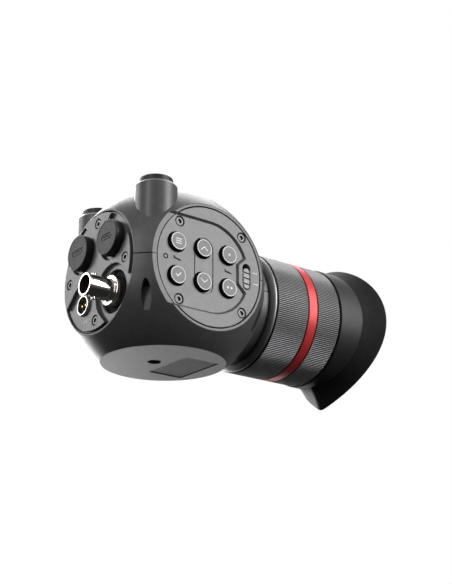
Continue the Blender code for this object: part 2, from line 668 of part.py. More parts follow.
def build_power(nickel, black, gold):
    place = moved(PORT, PORT_PLACES["power"])
    floor = PLATEAU - PORT_STEP
    back = PORT_FACE - PLATE_BACK - 2 * MM
    front = floor + POWER_PROUD
    edge = GAP
    bore = POWER_RADIUS - POWER_WALL
    turned("power_socket",
           [(bore, back), (POWER_RADIUS, back), (POWER_RADIUS, front - edge),
            (POWER_RADIUS - edge, front), (bore, front)], nickel, place, INNER_STEPS)
    insert = floor - POWER_INSERT_SUNK
    disc("power_insulator", bore - GAP, back, insert, black, place, INNER_STEPS)
    pin_radius, offset = POWER_PIN
    for i, side in enumerate((-1, 1)):
        disc(f"power_pin_{i + 1}", pin_radius, insert + GAP, front - 0.8 * MM, gold, place,
             SMALL_STEPS, (side * offset, 0.0))


# ---- top posts and base ----
def build_posts(rubber, brass):
    hole = POST_INSERT_RADIUS + GAP
    seat = POST_TOP - PAD_SEAT + GAP
    profile = [(hole, seat), (PAD_RADIUS, seat), (PAD_RADIUS, PAD_TOP - PAD_EDGE),
               (PAD_RADIUS - PAD_EDGE, PAD_TOP), (hole, PAD_TOP)]
    for name, centre in post_places().items():
        place = moved(TOP, centre)
        turned(f"post_pad_{name}", profile, rubber, place, PAD_STEPS)
        ring(f"post_insert_{name}", THREAD_RADIUS, POST_INSERT_RADIUS, *POST_INSERT, brass,
             place, SMALL_STEPS)


def build_base(brass, label_mat):
    ring("tripod_insert", THREAD_RADIUS, TRIPOD_INSERT_RADIUS, *TRIPOD_INSERT, brass,
         moved(BASE, (0.0, TRIPOD_HOLE_Y)), INNER_STEPS)
    size = (LABEL_SIZE[0] - 2 * GAP, LABEL_SIZE[1] - 2 * GAP)
    top = LABEL_RECESS - GAP
    prism("base_label", rectangle((0.0, LABEL_CENTRE_Y), *size), top - LABEL_FILM, top,
          label_mat, BASE)


# ---- viewing tube ----
def build_tube(alloy, grip, red, glass, black):
    shoulder = BARREL_START + BARREL_FLANGE_THICKNESS
    turned("barrel",
           [(BARREL_BORE, BARREL_START), (BARREL_FLANGE, BARREL_START),
            (BARREL_FLANGE, shoulder), (BARREL_RADIUS, shoulder), (BARREL_RADIUS, BARREL_END),
            (BARREL_BORE, BARREL_END)], black, TUBE, INNER_STEPS)
    bore = BARREL_RADIUS + GAP
    low, high = INDEX_RING
    turned("index_ring",
           [(bore, low), (INDEX_RADII[0], low), (INDEX_RADII[1] - INDEX_EDGE[0],
                                                 high - INDEX_EDGE[1]),
            (INDEX_RADII[1], high), (bore, high)], alloy, TUBE)
    ring("focus_sleeve", bore, SLEEVE_RADIUS, FRONT_GRIP[0], REAR_GRIP[1], black, TUBE)
    inner = SLEEVE_RADIUS + GAP
    ring("front_grip", inner, GRIP_RADIUS, *FRONT_GRIP, grip, TUBE)
    ring("red_ring", inner, GRIP_RADIUS, *RED_RING, red, TUBE)
    ring("rear_grip", inner, GRIP_RADIUS, *REAR_GRIP, grip, TUBE)

    ring("lens_carrier", CARRIER_BORE, CARRIER_RADIUS, *CARRIER, black, TUBE, INNER_STEPS)
    build_lens("front_lens", FRONT_LENS, glass)
    build_lens("rear_lens", REAR_LENS, glass)
    ring("lens_retainer", RETAINER_BORE, LENS_RADIUS, *RETAINER, black, TUBE, INNER_STEPS)

    eye_bore, seat_bore, mouth_bore = EYE_RING_BORES
    low, high = EYE_RING
    turned("eyepiece_ring",
           [(eye_bore, low), (EYE_RING_RADIUS, low), (EYE_RING_RADIUS, high), (mouth_bore, high),
            (seat_bore, EYE_WINDOW_SEAT), (eye_bore, EYE_WINDOW_SEAT)], black, TUBE, INNER_STEPS)
    build_lens("eye_window", EYE_WINDOW, glass, EYE_WINDOW_RADIUS)


def build_lens(name, shape, glass, radius=LENS_RADIUS):
    """Lens disc with curved faces; a bulge is the height of a face at its middle."""
    start, edge, front_bulge, rear_bulge = shape
    rows = 3
    low = []
    high = []
    for i in range(rows + 1):
        r = radius * i / rows
        drop = 1 - (r / radius) ** 2
        low.append((r, start - front_bulge * drop))
        high.append((r, start + edge + rear_bulge * drop))
    turned(name, low + high[::-1], glass, TUBE, PAD_STEPS)


def cup_rim(turn):
    """Rim radius, rim height and flare height at an angle from straight down.

    The rim is a saddle, low at the top and bottom and high at the sides, with one pointed tip
    that hangs straight down.
    """
    away = math.sqrt(turn * turn + CUP_TIP_ROUND ** 2) - CUP_TIP_ROUND
    peak = math.exp(-away / CUP_TIP_WIDTH)
    down = math.cos(turn)
    saddle = math.cos(2 * turn)
    lobes = CUP_LOBES[1] * math.cos(3 * turn) - CUP_LOBES[0] * saddle
    radius = CUP_RIM_RADIUS + CUP_OFF_CENTRE[0] * down + lobes + CUP_TIP_REACH * peak
    height = CUP_RIM_HEIGHT - CUP_OFF_CENTRE[1] * down - CUP_SADDLE[0] * saddle \
        - CUP_TIP_LOWERS[0] * peak
    flare = CUP_FLARE_START - CUP_SADDLE[1] * saddle - CUP_TIP_LOWERS[1] * peak
    return radius, height, flare


def build_eyecup(rubber):
    """Rubber cup: a round base sleeve that flares to the saddle-shaped rim."""
    bm = bmesh.new()
    rings = []
    for i in range(CUP_ANGLES):
        turn = math.tau * i / CUP_ANGLES
        if turn > math.pi:
            turn -= math.tau
        rim, height, flare = cup_rim(turn)
        outer = [(CUP_BASE_RADIUS, CUP_START)]
        for j in range(CUP_FLARE_ROWS + 1):
            s = j / CUP_FLARE_ROWS
            outer.append((CUP_BASE_RADIUS + (rim - CUP_BASE_RADIUS) * s ** 1.5,
                          flare + (height - flare) * s))
        inner = [(r - CUP_WALL, h) for r, h in outer]
        inner[0] = (EYE_RING_RADIUS + GAP, CUP_START)
        inner[1] = (EYE_RING_RADIUS + GAP, inner[1][1])
        rings.append([bm.verts.new((r * math.sin(turn), r * math.cos(turn), h))
                      for r, h in outer + inner[::-1]])
    for here, there in zip(rings, rings[1:] + rings[:1]):
        for j in range(len(here)):
            k = (j + 1) % len(here)
            bm.faces.new((here[j], here[k], there[k], there[j]))
    return finish("eyecup", bm, rubber, TUBE)


# ---- inside the housing ----
def build_inside(black, board, screen):
    box("display_panel", DISPLAY_SIZE, (0.0, DISPLAY_Y, AXIS_HEIGHT), screen)
    holder = box("display_frame", DISPLAY_FRAME_SIZE, (0.0, DISPLAY_FRAME_Y, AXIS_HEIGHT), black)
    width, depth, height = DISPLAY_SIZE
    pocket = (width + 2 * GAP, 3 * depth, height + 2 * GAP)
    cut(holder, [box("display_pocket_cut", pocket, (0.0, DISPLAY_Y + 1.2 * MM, AXIS_HEIGHT),
                     None)])
    box("main_board", *MAIN_BOARD, board)
    box("port_board", *PORT_BOARD, board)
    box("key_board", *KEY_BOARD, board)


def main():
    for obj in list(bpy.data.objects):
        bpy.data.objects.remove(obj, do_unlink=True)

    body = material("housing_satin_grey", (0.055, 0.055, 0.057), 0.45, 0.2)
    plate = material("panel_grey", (0.20, 0.20, 0.205), 0.5, 0.2)
    rubber = material("black_rubber", (0.018, 0.018, 0.018), 0.8)
    key_mat = material("key_grey", (0.12, 0.12, 0.125), 0.6)
    steel = material("dark_steel", (0.10, 0.10, 0.105), 0.4, 0.9)
    nickel = material("nickel", (0.75, 0.74, 0.70), 0.15, 1.0)
    gold = material("gold_contact", (0.80, 0.62, 0.30), 0.25, 1.0)
    brass = material("brass", (0.60, 0.48, 0.24), 0.35, 1.0)
    alloy = material("index_grey", (0.25, 0.25, 0.255), 0.35, 0.6)
    grip = material("knurled_grey", (0.16, 0.16, 0.165), 0.35, 0.7)
    red = material("red_anodised", (0.62, 0.04, 0.05), 0.4, 0.5)
    black = material("black_plastic", (0.02, 0.02, 0.02), 0.5)
    glass = material("lens_glass", (0.75, 0.82, 0.85), 0.05)
    board = material("board_green", (0.02, 0.12, 0.06), 0.5)
    screen = material("screen_black", (0.01, 0.01, 0.012), 0.1)
    label = material("label_grey", (0.09, 0.09, 0.09), 0.6)

    build_housing(body)
    build_keypad(plate, key_mat, steel)
    build_side_cover(plate, steel)
    build_port_panel(plate, steel)
    for name in SOCKETS:
        build_capped_socket(name, rubber, steel)
    build_coax(nickel, black, gold)
    build_power(nickel, black, gold)
    build_posts(rubber, brass)
    build_base(brass, label)
    build_tube(alloy, grip, red, glass, black)
    build_eyecup(rubber)
    build_inside(black, board, screen)


main()
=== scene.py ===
"""Looks of the electronic viewfinder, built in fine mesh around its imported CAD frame."""
import math
import bmesh
import bpy
from mathutils import Matrix, Vector


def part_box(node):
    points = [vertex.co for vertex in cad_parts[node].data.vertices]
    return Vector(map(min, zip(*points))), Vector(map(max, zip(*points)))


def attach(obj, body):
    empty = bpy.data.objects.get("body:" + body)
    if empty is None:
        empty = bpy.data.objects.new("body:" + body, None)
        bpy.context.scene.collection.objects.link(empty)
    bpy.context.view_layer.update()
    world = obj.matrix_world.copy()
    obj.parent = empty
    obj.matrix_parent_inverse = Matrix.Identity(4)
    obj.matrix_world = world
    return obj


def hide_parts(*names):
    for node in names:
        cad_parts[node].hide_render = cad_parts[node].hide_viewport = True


MM = 0.001
MERGE_DISTANCE = 0.002 * MM      # closes the slivers that a boolean leaves
GAP = 0.3 * MM
ROUND = 0.2 * MM                 # usual edge rounding
FINE_STEPS = 160
MIDDLE_STEPS = 96
SMALL_STEPS = 40
X = Vector((1, 0, 0))
Y = Vector((0, 1, 0))
Z = Vector((0, 0, 1))

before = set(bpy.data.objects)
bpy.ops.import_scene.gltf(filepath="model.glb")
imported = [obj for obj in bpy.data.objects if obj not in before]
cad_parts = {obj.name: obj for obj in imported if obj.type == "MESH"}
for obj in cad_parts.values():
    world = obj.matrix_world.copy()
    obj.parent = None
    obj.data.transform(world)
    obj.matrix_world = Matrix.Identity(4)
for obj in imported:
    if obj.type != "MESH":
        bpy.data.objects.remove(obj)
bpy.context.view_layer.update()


# ---- places, all read from the frame ----
def low(node):
    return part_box(node)[0]


def high(node):
    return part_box(node)[1]


def middle(node):
    return (low(node) + high(node)) / 2


def radius_of(node):
    return (high(node).x - low(node).x) / 2


def axes(x_axis, y_axis, z_axis, origin):
    """Matrix that puts local x, y and z along the given world axes at origin."""
    turn = Matrix((x_axis, y_axis, z_axis)).transposed().to_4x4()
    return Matrix.Translation(origin) @ turn


SEAM_HEIGHT = (low("upper_shell").z + high("lower_shell").z) / 2
CENTRE = Vector((0.0, 0.0, SEAM_HEIGHT))
AXIS_HEIGHT = middle("front_grip").z
KEY = axes(Y, Z, X, CENTRE)              # local z is the distance from the ball's centre
SIDE = axes(-Y, Z, -X, CENTRE)
PORT = axes(X, Z, -Y, CENTRE)
TOP = axes(X, Y, Z, CENTRE)
BASE = axes(X, -Y, -Z, Vector((0, 0, 0)))
TUBE = axes(X, -Z, Y, Vector((0, 0, AXIS_HEIGHT)))

BALL_RADIUS = 44.0 * MM
CAVITY_RADIUS = 40.0 * MM
FLOOR_WALL = 2.0 * MM
KEY_FACE = high("key_plate").x
PLATEAU = -low("port_panel").y
PORT_FACE = PLATEAU - 0.9 * MM
TOP_FLAT = SEAM_HEIGHT                   # the top flat mirrors the base
PLATE_RADIUS = (high("key_plate").y - low("key_plate").y) / 2
SEAM_HALF = (low("upper_shell").z - high("lower_shell").z) / 2
KEY_RECESS = 0.9 * MM
KEY_FIELD_RADIUS = 20.2 * MM
FIELD_SLOPE = 0.95 * MM                  # width of the sloping wall round the key field
GRIP_RADIUS = radius_of("front_grip")
NECK_RADIUS = 24.4 * MM
TUBE_BORE = 21.3 * MM
POST_TOP = high("upper_shell").z - SEAM_HEIGHT
PORT_FLOOR = PLATEAU - 1.6 * MM
INNER = 20.0 * MM                        # depth that every through cut starts from
SPAN = 60.0 * MM                         # longer than any part of the object
KEYS = ("menu_button", "ok_button", "up_button", "down_button", "function_button_1",
        "function_button_2")
KEY_RADIUS = 3.95 * MM
SLIDER_TRAVEL = 1.6 * MM
SENSOR_PLACE = (-22.4 * MM, 0.0)
CHANNELS = {"video_cap": 9.4 * MM, "data_cap": 9.4 * MM, "coax_jack": 11.8 * MM,
            "power_socket": 9.4 * MM}


def local(place, node):
    """Middle of a CAD node in a face's own frame."""
    return place.inverted() @ middle(node)


def at(place, centre, height=0.0):
    return place @ Matrix.Translation((centre[0], centre[1], height))


# ---- outlines ----
def arc(centre, radius, start, end, count):
    """Points on an arc, angles in degrees, both ends included."""
    angles = [math.radians(start + (end - start) * i / count) for i in range(count + 1)]
    return [(centre[0] + radius * math.cos(a), centre[1] + radius * math.sin(a)) for a in angles]


def stadium(centre, width, height, steps=12):
    """Upright slot outline with round ends."""
    radius = width / 2
    rise = height / 2 - radius
    return arc((centre[0], centre[1] + rise), radius, 0, 180, steps) \
        + arc((centre[0], centre[1] - rise), radius, 180, 360, steps)


def rectangle(centre, width, height):
    x, y = centre[:2]
    return [(x - width / 2, y - height / 2), (x + width / 2, y - height / 2),
            (x + width / 2, y + height / 2), (x - width / 2, y + height / 2)]


def rounded(points, radius, closed=True, steps=4):
    """The outline with each corner replaced by an arc; a third value on a point is its own radius."""
    out = []
    count = len(points)
    for i, point in enumerate(points):
        here = Vector(point[:2])
        if not closed and i in (0, count - 1):
            out.append(tuple(here))
            continue
        size = point[2] if len(point) > 2 else radius
        before = Vector(points[i - 1][:2]) - here
        after = Vector(points[(i + 1) % count][:2]) - here
        turn = before.angle(after)
        if size <= 0.0 or turn > math.radians(179.0):
            out.append(tuple(here))
            continue
        reach = min(size / math.tan(turn / 2), before.length * 0.48, after.length * 0.48)
        start = here + before.normalized() * reach
        end = here + after.normalized() * reach
        bisector = (before.normalized() + after.normalized()).normalized()
        middle_point = here + bisector * (reach / math.cos(turn / 2))
        first = start - middle_point
        last = end - middle_point
        sweep = first.angle_signed(last)
        for j in range(steps + 1):
            angle = -sweep * j / steps
            out.append((middle_point.x + first.x * math.cos(angle) - first.y * math.sin(angle),
                        middle_point.y + first.x * math.sin(angle) + first.y * math.cos(angle)))
    return out


def disc(radius, bottom, top):
    """Profile of a solid disc, from the axis out and back."""
    return [(0.0, bottom), (radius, bottom), (radius, top), (0.0, top)]


def sleeve(bore, radius, bottom, top):
    """Profile of a plain ring."""
    return [(bore, bottom), (radius, bottom), (radius, top), (bore, top)]


def offset(outline, distance):
    """The outline moved outwards by a distance (counter-clockwise outlines)."""
    count = len(outline)
    out = []
    for i in range(count):
        here = Vector(outline[i])
        before = (here - Vector(outline[i - 1])).normalized()
        after = (Vector(outline[(i + 1) % count]) - here).normalized()
        normal = Vector((before.y, -before.x)) + Vector((after.y, -after.x))
        scale = max(normal.length_squared / 2, 0.3)
        out.append(tuple(here + normal * (distance / scale)))
    return out


# ---- meshes ----
def shade(mesh, angle=32):
    mesh.shade_smooth()
    mesh.set_sharp_from_angle(angle=math.radians(angle))


def piece(name, bm, place):
    """Object whose mesh is in the row frame."""
    bmesh.ops.remove_doubles(bm, verts=bm.verts, dist=1e-7)
    bmesh.ops.recalc_face_normals(bm, faces=bm.faces)
    mesh = bpy.data.meshes.new(name)
    bm.to_mesh(mesh)
    bm.free()
    mesh.transform(place)
    shade(mesh)
    obj = bpy.data.objects.new(name, mesh)
    bpy.context.scene.collection.objects.link(obj)
    return obj


def turned(name, profile, place, steps=FINE_STEPS):
    """Solid of revolution: (radius, height) points round local z; axis points become flat caps."""
    points = [point for point in profile if point[0] > 1e-6]
    bm = bmesh.new()
    verts = [bm.verts.new((r, 0.0, h)) for r, h in points]
    edges = [bm.edges.new(pair) for pair in zip(verts, verts[1:])]
    if len(points) == len(profile):
        edges.append(bm.edges.new((verts[-1], verts[0])))
    bmesh.ops.spin(bm, geom=verts + edges, cent=(0, 0, 0), axis=(0, 0, 1), angle=math.tau,
                   steps=steps, use_merge=True)
    bmesh.ops.holes_fill(bm, edges=[e for e in bm.edges if e.is_boundary])
    return piece(name, bm, place)


def knob(name, points, place, steps=FINE_STEPS, rounding=ROUND):
    """Turned solid whose profile runs from the axis out and back, with rounded corners."""
    return turned(name, rounded(points, rounding, closed=False), place, steps)


def tube(name, points, place, steps=FINE_STEPS, rounding=ROUND):
    """Turned ring with rounded corners."""
    return turned(name, rounded(points, rounding), place, steps)


def stacked(name, layers, place):
    """Closed solid through a stack of equal-count outlines, each (outline, height)."""
    bm = bmesh.new()
    rings = [[bm.verts.new((x, y, height)) for x, y in outline] for outline, height in layers]
    count = len(rings[0])
    for lower, upper in zip(rings, rings[1:]):
        for i in range(count):
            j = (i + 1) % count
            bm.faces.new((lower[i], lower[j], upper[j], upper[i]))
    bm.faces.new(rings[0][::-1])
    bm.faces.new(rings[-1])
    return piece(name, bm, place)


def skin(name, loops, place):
    """Closed skin over loops of points, the last loop joined to the first."""
    bm = bmesh.new()
    rings = [[bm.verts.new(point) for point in loop] for loop in loops]
    count = len(rings[0])
    for here, there in zip(rings, rings[1:] + rings[:1]):
        for i in range(count):
            j = (i + 1) % count
            bm.faces.new((here[i], here[j], there[j], there[i]))
    return piece(name, bm, place)


def prism(name, outline, bottom, top, place, edge=0.0):
    """Straight extrusion whose top rim is rounded by edge, in three facets."""
    layers = [(outline, bottom), (outline, top - edge)]
    if edge > 0.0:
        layers += [(offset(outline, -edge * (1 - math.cos(a))), top - edge * (1 - math.sin(a)))
                   for a in (math.pi / 6, math.pi / 3, math.pi / 2)]
    return stacked(name, layers, place)


def cutter(outline, bottom, mouth, place, flare=0.15 * MM):
    """Straight cutting tool whose mouth flares at 45 degrees, which leaves a chamfered edge."""
    run = 0.6 * MM
    if flare == 0.0:
        last = (outline, mouth + 5 * MM)
    else:
        last = (offset(outline, flare + run), mouth + run)
    return stacked("tool", [(outline, bottom), (outline, mouth - flare), last], place)


def round_cutter(radius, bottom, mouth, place, flare=0.15 * MM, steps=SMALL_STEPS):
    """Round cutting tool with the same flared mouth."""
    run = 0.8 * MM
    points = [(0.0, bottom), (radius, bottom), (radius, mouth - flare),
              (radius + flare + run, mouth + run), (0.0, mouth + run)]
    return turned("tool", points, place, steps)


def band(name, outline, width, bottom, top, place):
    """Thin raised frame that follows a closed outline."""
    inner = offset(outline, -width)
    corners = ((outline, bottom), (outline, top), (inner, top), (inner, bottom))
    return skin(name, [[(x, y, height) for x, y in line] for line, height in corners], place)


def combine(target, tools, operation):
    """Boolean with all tools at once; the result becomes the target's own mesh."""
    group = bpy.data.collections.new("tools")
    for tool in tools:
        group.objects.link(tool)
    modifier = target.modifiers.new("shape", "BOOLEAN")
    modifier.operation = operation
    modifier.solver = "EXACT"
    modifier.operand_type = "COLLECTION"
    modifier.collection = group
    bpy.context.view_layer.update()
    shaped = bpy.data.meshes.new_from_object(target.evaluated_get(
        bpy.context.evaluated_depsgraph_get()))
    target.modifiers.clear()
    merged = bmesh.new()
    merged.from_mesh(shaped)
    bmesh.ops.remove_doubles(merged, verts=merged.verts, dist=MERGE_DISTANCE)
    bmesh.ops.dissolve_degenerate(merged, edges=merged.edges, dist=MERGE_DISTANCE)
    merged.to_mesh(shaped)
    merged.free()
    target.data = shaped
    for tool in tools:
        bpy.data.objects.remove(tool, do_unlink=True)
    bpy.data.collections.remove(group)
    shade(target.data)
    return target


def cut(target, *tools):
    return combine(target, list(tools), "DIFFERENCE")


def add(target, *tools):
    return combine(target, list(tools), "UNION")


def joined(name, parts):
    """One object out of several separate solids."""
    bm = bmesh.new()
    for part in parts:
        bm.from_mesh(part.data)
        bpy.data.objects.remove(part, do_unlink=True)
    return piece(name, bm, Matrix.Identity(4))


def dress(obj, body, slot, material, *nodes):
    """Gives a piece its body, finish and the CAD nodes that it stands for; its slot is not used."""
    obj.data.materials.clear()
    obj.data.materials.append(material)
    weighted = obj.modifiers.new("normals", "WEIGHTED_NORMAL")
    weighted.keep_sharp = True
    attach(obj, body)
    if nodes:
        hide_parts(*nodes)


def second_finish(obj, material, chosen):
    """Another finish for the faces that a test picks."""
    obj.data.materials.append(material)
    for face in obj.data.polygons:
        face.material_index = int(chosen(face))


# ---- finishes ----
def node(tree, kind, **settings):
    made = tree.nodes.new(kind)
    for name, value in settings.items():
        setattr(made, name, value)
    return made


def noise(tree, vector, scale, detail=4.0, roughness=0.55):
    made = node(tree, "ShaderNodeTexNoise")
    made.inputs["Scale"].default_value = scale
    made.inputs["Detail"].default_value = detail
    made.inputs["Roughness"].default_value = roughness
    tree.links.new(vector, made.inputs["Vector"])
    return made.outputs["Fac"]


def spread(tree, value, bottom, top, to_bottom, to_top):
    """Maps a value from one range to another."""
    made = node(tree, "ShaderNodeMapRange")
    for name, number in (("From Min", bottom), ("From Max", top), ("To Min", to_bottom),
                         ("To Max", to_top)):
        made.inputs[name].default_value = number
    tree.links.new(value, made.inputs["Value"])
    return made.outputs["Result"]


def tint(tree, factor, first, second):
    """Colour between two colours."""
    made = node(tree, "ShaderNodeMix", data_type="RGBA")
    made.inputs["A"].default_value = (*first, 1.0)
    made.inputs["B"].default_value = (*second, 1.0)
    tree.links.new(factor, made.inputs["Factor"])
    return made.outputs["Result"]


def shaded(colour, share):
    return tuple(min(1.0, channel * share) for channel in colour)


def finish(name, colour, roughness, metallic=0.0, grain=2600.0, depth=0.010, mottle=0.12,
           rough_spread=0.04, stretch=(1.0, 1.0, 1.0), coat=0.0, specular=0.5):
    """Mottled colour, uneven gloss and a fine grain; its depth is in millimetres."""
    material = bpy.data.materials.new(name)
    material.use_nodes = True
    tree = material.node_tree
    shader = tree.nodes["Principled BSDF"]
    shader.inputs["Metallic"].default_value = metallic
    shader.inputs["Coat Weight"].default_value = coat
    shader.inputs["Coat Roughness"].default_value = 0.25
    shader.inputs["Specular IOR Level"].default_value = specular
    place = node(tree, "ShaderNodeTexCoord").outputs["Object"]
    mapping = node(tree, "ShaderNodeMapping")
    mapping.inputs["Scale"].default_value = stretch
    tree.links.new(place, mapping.inputs["Vector"])
    grain_value = noise(tree, mapping.outputs["Vector"], grain)
    patches = noise(tree, place, 260.0, 8.0)
    smears = noise(tree, place, 1400.0, 6.0)
    colours = tint(tree, spread(tree, patches, 0.3, 0.7, 0.0, 1.0), shaded(colour, 1 - mottle),
                   shaded(colour, 1 + mottle))
    tree.links.new(colours, shader.inputs["Base Color"])
    gloss = spread(tree, smears, 0.3, 0.7, roughness - rough_spread, roughness + rough_spread)
    tree.links.new(gloss, shader.inputs["Roughness"])
    bump = node(tree, "ShaderNodeBump")
    bump.inputs["Strength"].default_value = 1.0
    bump.inputs["Distance"].default_value = depth * MM
    tree.links.new(grain_value, bump.inputs["Height"])
    tree.links.new(bump.outputs["Normal"], shader.inputs["Normal"])
    return material


def knurl_with_painted_groove_shade(name, colour, valley_shade, roughness, crest_radius, groove):
    """Anodised alloy, near black towards the bottom of the knurling as painted shade in the grooves,
    its own colour on the crests.
    """
    material = finish(name, colour, roughness, metallic=0.35, grain=5200.0, depth=0.006)
    tree = material.node_tree
    shader = tree.nodes["Principled BSDF"]
    place = node(tree, "ShaderNodeTexCoord").outputs["Object"]
    axis = node(tree, "ShaderNodeVectorMath", operation="MULTIPLY_ADD")
    axis.inputs[1].default_value = (1.0, 0.0, 1.0)
    axis.inputs[2].default_value = (0.0, 0.0, -AXIS_HEIGHT)
    tree.links.new(place, axis.inputs[0])
    length = node(tree, "ShaderNodeVectorMath", operation="LENGTH")
    tree.links.new(axis.outputs["Vector"], length.inputs[0])
    # painted shade: the colour falls to near black towards the bottom of the ribs
    share = spread(tree, length.outputs["Value"], crest_radius - groove, crest_radius, 0.0, 1.0)
    colours = tint(tree, share, valley_shade, colour)
    tree.links.new(colours, shader.inputs["Base Color"])
    return material


def glass_finish(name, colour):
    """Coated lens glass with faint cleaning marks."""
    material = bpy.data.materials.new(name)
    material.use_nodes = True
    tree = material.node_tree
    shader = tree.nodes["Principled BSDF"]
    shader.inputs["Transmission Weight"].default_value = 0.95
    shader.inputs["IOR"].default_value = 1.52
    shader.inputs["Coat Weight"].default_value = 0.6
    shader.inputs["Coat Roughness"].default_value = 0.03
    shader.inputs["Coat Tint"].default_value = (0.62, 0.72, 1.0, 1.0)
    place = node(tree, "ShaderNodeTexCoord").outputs["Object"]
    marks = noise(tree, place, 600.0, 6.0)
    tree.links.new(spread(tree, marks, 0.35, 0.75, 0.0, 0.02), shader.inputs["Roughness"])
    tree.links.new(tint(tree, marks, shaded(colour, 0.94), colour), shader.inputs["Base Color"])
    return material


PAINT = finish("satin_housing_paint", (0.090, 0.090, 0.092), 0.41, metallic=0.2, grain=3600.0,
               depth=0.010, mottle=0.10)
# Panel paints are the housing paint made a little lighter: painted light for the brightly lit flat
# faces.
LIGHTER_PANEL_PAINT = finish("panel_paint", (0.105, 0.105, 0.107), 0.40, metallic=0.2, grain=4200.0,
               depth=0.012, mottle=0.07)
LIGHTER_PORT_PAINT = finish("port_panel_paint", (0.105, 0.105, 0.107), 0.40, metallic=0.2, grain=4200.0,
                    depth=0.012, mottle=0.08)
RUBBER = finish("black_rubber", (0.017, 0.017, 0.0175), 0.50, grain=5200.0, depth=0.010,
                mottle=0.15, rough_spread=0.05, specular=0.45)
SOFT_RUBBER = finish("soft_matt_rubber", (0.013, 0.013, 0.0135), 0.72, grain=5200.0,
                     depth=0.014, mottle=0.18, rough_spread=0.05, specular=0.18)
# Lighter rubber for the cap faces; the caps' sides keep the near-black rubber as painted shade.
CAP_RUBBER = finish("cap_rubber", (0.085, 0.085, 0.086), 0.60, grain=4600.0, depth=0.016,
                    mottle=0.18, rough_spread=0.10, specular=0.35)
# Near-black key sides: painted shade for the dark gap round each key.
KEY_SIDE_SHADE = finish("key_side_painted_shade", (0.006, 0.006, 0.006), 0.75, grain=5200.0, depth=0.012,
                   mottle=0.2, specular=0.1)
KEY_TOP = finish("key_top_plastic", (0.130, 0.130, 0.132), 0.42, grain=5200.0, depth=0.010,
                 mottle=0.08)
PRINT = finish("pale_print", (0.86, 0.86, 0.85), 0.60, grain=6500.0, depth=0.006, mottle=0.10)
DARK_STEEL = finish("blackened_steel", (0.085, 0.085, 0.088), 0.36, metallic=0.5, grain=5000.0,
                    depth=0.006, mottle=0.2)
NICKEL = finish("nickel_plate", (0.78, 0.76, 0.71), 0.12, metallic=1.0, grain=900.0,
                depth=0.004, mottle=0.05, rough_spread=0.05)
# Dark bore of the jack: painted shade inside the nickel barrel.
BORE = finish("nickel_bore_painted_shade", (0.060, 0.050, 0.040), 0.5, metallic=0.6, grain=3000.0,
              depth=0.004)
GOLD = finish("gold_contact", (0.82, 0.60, 0.26), 0.22, metallic=1.0, grain=3000.0, depth=0.004)
BRASS = finish("machined_brass", (0.62, 0.47, 0.22), 0.30, metallic=1.0, grain=4200.0,
               depth=0.006, stretch=(0.15, 0.15, 1.0))
ALLOY = finish("index_alloy", (0.340, 0.340, 0.345), 0.48, metallic=0.9, grain=4200.0,
               depth=0.008, mottle=0.06, stretch=(0.06, 1.0, 0.06))
RED = finish("red_anodised", (0.66, 0.045, 0.050), 0.40, metallic=0.25, grain=4200.0,
             depth=0.008, mottle=0.08, stretch=(0.06, 1.0, 0.06))
BLACK = finish("black_plastic", (0.018, 0.018, 0.0185), 0.48, grain=4600.0, depth=0.010,
               mottle=0.2)
# Matt black: the real colour of the tube bores, and painted shade in the key wells, the key-field
# ticks, the coax pocket ring and the sleeve slits.
FLOCK_AND_PAINTED_SHADE = finish("matt_black_bore_and_painted_shade", (0.010, 0.010, 0.010), 0.85, grain=5200.0, depth=0.020,
               mottle=0.3, specular=0.2)
LABEL = finish("label_film", (0.060, 0.060, 0.062), 0.55, grain=5200.0, depth=0.006, mottle=0.12)
BOARD = finish("circuit_board", (0.02, 0.13, 0.06), 0.45, grain=1500.0, depth=0.010, mottle=0.3)
SCREEN = finish("display_glass", (0.010, 0.010, 0.014), 0.10, grain=7000.0, depth=0.002,
                mottle=0.3, rough_spread=0.03, coat=0.6)
STEEL = finish("bright_steel", (0.42, 0.42, 0.43), 0.28, metallic=1.0, depth=0.004,
               mottle=0.08, stretch=(1.0, 0.1, 1.0))
SLIDER_FINISH = finish("slider_plastic", (0.34, 0.34, 0.345), 0.42, grain=5200.0, depth=0.008,
                       mottle=0.10)
RIB_DEPTH = 0.30 * MM
# Knurled grip alloy, darkened in its valleys as painted shade.
GRIP = knurl_with_painted_groove_shade("knurled_alloy", (0.22, 0.22, 0.224), (0.010, 0.010, 0.010), 0.34,
                    GRIP_RADIUS, RIB_DEPTH)
GLASS = glass_finish("lens_glass", (0.92, 0.96, 0.97))


# ---- housing ----
def flat_tool(place, distance, rounding=0.7 * MM):
    """Cuts a flat off the ball and rounds its rim, tangent to both."""
    inner = BALL_RADIUS - rounding
    depth = distance - rounding
    reach = math.sqrt(inner * inner - depth * depth)
    slope = math.degrees(math.atan2(depth, reach))
    profile = [(0.0, distance)]
    profile += arc((reach, depth), rounding, 90, slope, 5)
    out_r, out_h = profile[-1]
    profile += [(out_r * 1.5, out_h * 1.5), (0.0, out_h * 1.5)]
    return turned("tool", profile, place)


